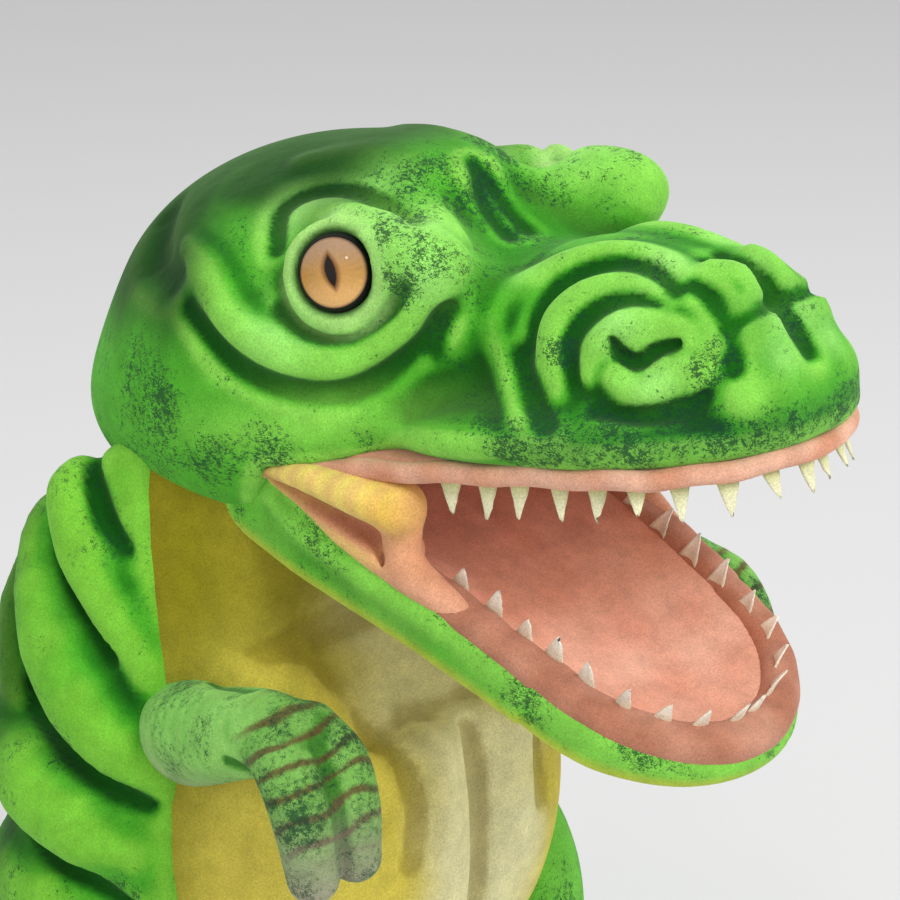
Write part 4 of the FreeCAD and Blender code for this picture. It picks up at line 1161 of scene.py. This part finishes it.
def sew_mouth():
    """The head and jaw with their linings. A span is given as two bodies and a point for each; the pieces on
    it are only placed, not bent.
    """
    sew("head_plush", sculpt_head(), head_place, paint_head, GREEN_PLUSH, "plush_green", "head",
        ("head_skin", "head_stuffing", "palate_board"), 0.8)
    sew("upper_lip_roll", sculpt_lip(), head_place, paint_lip, PINK_NAP, "lip_cloth", "head",
        ("upper_lip_trim",))
    sew("palate_cloth", sculpt_palate(), head_place, paint_palate, PINK_NAP, "mouth_lining", "head",
        ("palate_lining",))
    sew("jaw_plush", sculpt_jaw(), jaw_place, paint_jaw, GREEN_PLUSH, "plush_green",
        ("head", "jaw", (0, -26, -30), (0, 4, -36)), ("jaw_skin", "chin_panel", "jaw_foam", "jaw_board"), 0.8)
    sew("lower_gum", sculpt_gum(), jaw_place, paint_gum, PINK_NAP, "mouth_lining", "jaw", ("lower_gum_roll",))
    sew("mouth_floor", sculpt_floor(), jaw_place, paint_floor, PINK_NAP, "mouth_lining", "jaw",
        ("mouth_floor_lining",))
    sew("throat_cloth", sculpt_throat(), body_place, paint_throat, PINK_NAP, "mouth_lining",
        ("head", "jaw", (0, 10, -22), (0, 4, -48)), ("throat_lining",))
    sew("cheek_folds", sculpt_cheeks(), body_place, paint_cheeks, PINK_NAP, "mouth_lining",
        ("head", "jaw", (0, 34, -26), (0, 26, -60)), ("right_cheek_gusset", "left_cheek_gusset"))
    top_row = teeth_row("upper_teeth_felt", UPPER_MOUTH, 5.2, np.linspace(62, 185, 10), 12.5, 7.4, -1, -26.5,
        head_place, 4, (226, 224, 186), (188, 192, 128))
    dress(top_row, "tooth_felt", "head", ("upper_teeth",))
    low_row = teeth_row("lower_teeth_felt", LOWER_MOUTH, 13.4, np.linspace(50, 157, 9), 10.0, 6.4, 1, -1.5,
        jaw_place, 9, (240, 234, 218), (222, 206, 176))
    dress(low_row, "tooth_felt", "jaw", ("lower_teeth",))
    for side_name, side in SIDES:
        dome = eye_dome(f"{side_name}_eye_dome", side)
        dress(dome, "eye_amber", "head", (f"{side_name}_eye_lens", f"{side_name}_eye_iris"))
        recolour(f"{side_name}_eye_cup", EYE_BLACK)


def sew_body():
    """Neck and torso: each skin is cut at the neck's base into a neck length and a torso length."""
    upper_span = ("neck_base", "head", (0, -50, NECK_RING), (0, -50, -44))
    lower_span = ("torso", "neck_base", (0, -50, -170), (0, -50, NECK_RING))
    for name, clay, painter, cloth, slot, upper_nodes, lower_nodes in (
        ("belly", belly_folds(sculpt_body()), paint_belly, YELLOW_PLUSH, "plush_yellow", ("throat_panel",),
         ("belly_panel",)),
        ("back", back_folds(sculpt_body()), paint_back, GREEN_PLUSH, "plush_green",
         ("nape_skin", "neck_stuffing", "neck_base_stuffing"), ("back_skin", "torso_stuffing")),
    ):
        # the uncut skin's normals, so that the cut doesn't show
        whole = sculpted(f"{name}_whole", clay, body_place, painter, cloth)
        mesh = whole.data
        normals = {spot_key(v): tuple(n.vector) for v, n in zip(mesh.vertices, mesh.vertex_normals)}
        bpy.data.objects.remove(whole)
        for part, keep, on, nodes in (
            ("neck", lambda m: m[:, 2] > NECK_RING, upper_span, upper_nodes),
            ("torso", lambda m: m[:, 2] <= NECK_RING, lower_span, lower_nodes),
        ):
            piece = sculpted(f"{part}_{name}_plush", clay, body_place, painter, cloth, keep)
            wanted = [normals[spot_key(v)] for v in piece.data.vertices]
            piece.data.normals_split_custom_set_from_vertices(wanted)
            dress(piece, slot, on, nodes, 0.6)


def arm_place(side):
    """The left arm rests a little higher than the right one, reaches further and turns outwards."""
    raised = math.radians(3.0) if side > 0 else 0.0
    longer, splay = (1.2, 0.12) if side > 0 else (1.0, 0.0)
    c, s = math.cos(raised), math.sin(raised)

    def place(p):
        ahead, up = (p[:, 1] - SHOULDER[0]) * longer, p[:, 2] - SHOULDER[1]
        sideways = (p[:, 0] + splay * np.maximum(ahead, 0)) * side
        turned = np.stack((sideways, ahead * c - up * s + SHOULDER[0], ahead * s + up * c + SHOULDER[1]), 1)
        return body_place(turned)

    return place


def sew_limbs():
    arm_clay, leg_clay, sole_clay = sculpt_arm(), sculpt_leg(), sculpt_sole()
    for name, side in SIDES:
        sew(f"{name}_arm_plush", arm_clay, arm_place(side), paint_arm, GREEN_PLUSH, "plush_green",
            f"{name}_arm", (f"{name}_arm_skin", f"{name}_arm_stuffing"), 0.8)
    for name, side in SIDES:
        def place(p, side=side):
            return body_place(p * (side, 1, 1))

        sew(f"{name}_leg_plush", leg_clay, place, paint_leg, GREEN_PLUSH, "plush_green", "torso",
            (f"{name}_leg_skin", f"{name}_leg_stuffing", f"{name}_sole_board"), 0.85)
        sew(f"{name}_sole_pad", sole_clay, place, paint_sole, YELLOW_PLUSH, "sole_cloth", "torso",
            (f"{name}_sole",))
    sew("tail_plush", sculpt_tail(), body_place, paint_tail, GREEN_PLUSH, "plush_green",
        ("torso", "tail", (0, -92, -236), (0, -140, -250)), ("tail_skin", "tail_stuffing"), 0.85)


# ---------------------------------------------------------------- studio
def area_light(name, where, aim, size, power, shine):
    """A round lamp. With no shine it lights the toy but isn't seen in its gloss."""
    light = bpy.data.lights.new(name, "AREA")
    light.shape, light.size, light.energy, light.specular_factor = "DISK", size, power, shine
    lamp = new_object(name, light)
    lamp.location = where
    lamp.rotation_euler = (Vector(aim) - Vector(where)).to_track_quat("-Z", "Y").to_euler()
    lamp.visible_glossy = shine > 0
    return lamp


def studio():
    scene = bpy.context.scene
    world = bpy.data.worlds.new("studio")
    scene.world = world
    world.use_nodes = True
    background = world.node_tree.nodes["Background"]
    background.inputs["Color"].default_value = (0.82, 0.82, 0.82, 1)
    background.inputs["Strength"].default_value = 0.79
    size = 30.0  # half the floor's width, m
    mesh = bpy.data.meshes.new("floor")
    corners = [(-size, -size, 0), (size, -size, 0), (size, size, 0), (-size, size, 0)]
    mesh.from_pydata(corners, [], [(0, 1, 2, 3)])
    mesh.materials.append(new_material("pale_floor", (0.67, 0.67, 0.67), 0.9)[0])
    new_object("floor", mesh)
    centre = point(0, 20, 0)
    for name, where, size, power, shine in (
        ("key", (-0.35, -1.5, 1.5), 0.8, 19, 0.0),
        ("glint", (-0.82, -0.71, 1.50), 0.14, 1.0, 1.0),
        ("fill", (-1.6, -0.1, 0.7), 1.0, 4.5, 0.0),
        ("top", (0.3, 0.6, 1.7), 0.9, 9, 0.0),
        ("far_side", (1.5, -0.9, 0.6), 0.9, 8, 0.0),
    ):
        area_light(name, where, centre, size, power, shine)
    turn, lift = math.radians(-50.0), math.radians(20.0)
    back = Vector((math.sin(turn) * math.cos(lift), -math.cos(turn) * math.cos(lift), math.sin(lift)))
    right = Vector((math.cos(turn), math.sin(turn), 0))
    up = back.cross(right)
    camera = bpy.data.cameras.new("camera")
    distance, eye_nearer = 1.2, 0.059  # from the head's centre; the near eye is a little nearer
    sensor, seen = 36.0, 0.27  # the picture's width, mm, and the width it shows at the near eye, m
    camera.lens, camera.sensor_width, camera.clip_end = sensor * (distance - eye_nearer) / seen, sensor, 60.0
    eye = new_object("camera", camera)
    aside, lower = 0.006, 0.036  # how far the head's centre is from the picture's middle, m
    eye.location = Vector(point(0, 0, 0)) + back * distance + right * aside - up * lower
    eye.rotation_euler = (-back).to_track_quat("-Z", "Y").to_euler()
    scene.camera = eye
    scene.view_settings.view_transform = "Standard"


sew_mouth()
sew_body()
sew_limbs()
studio()
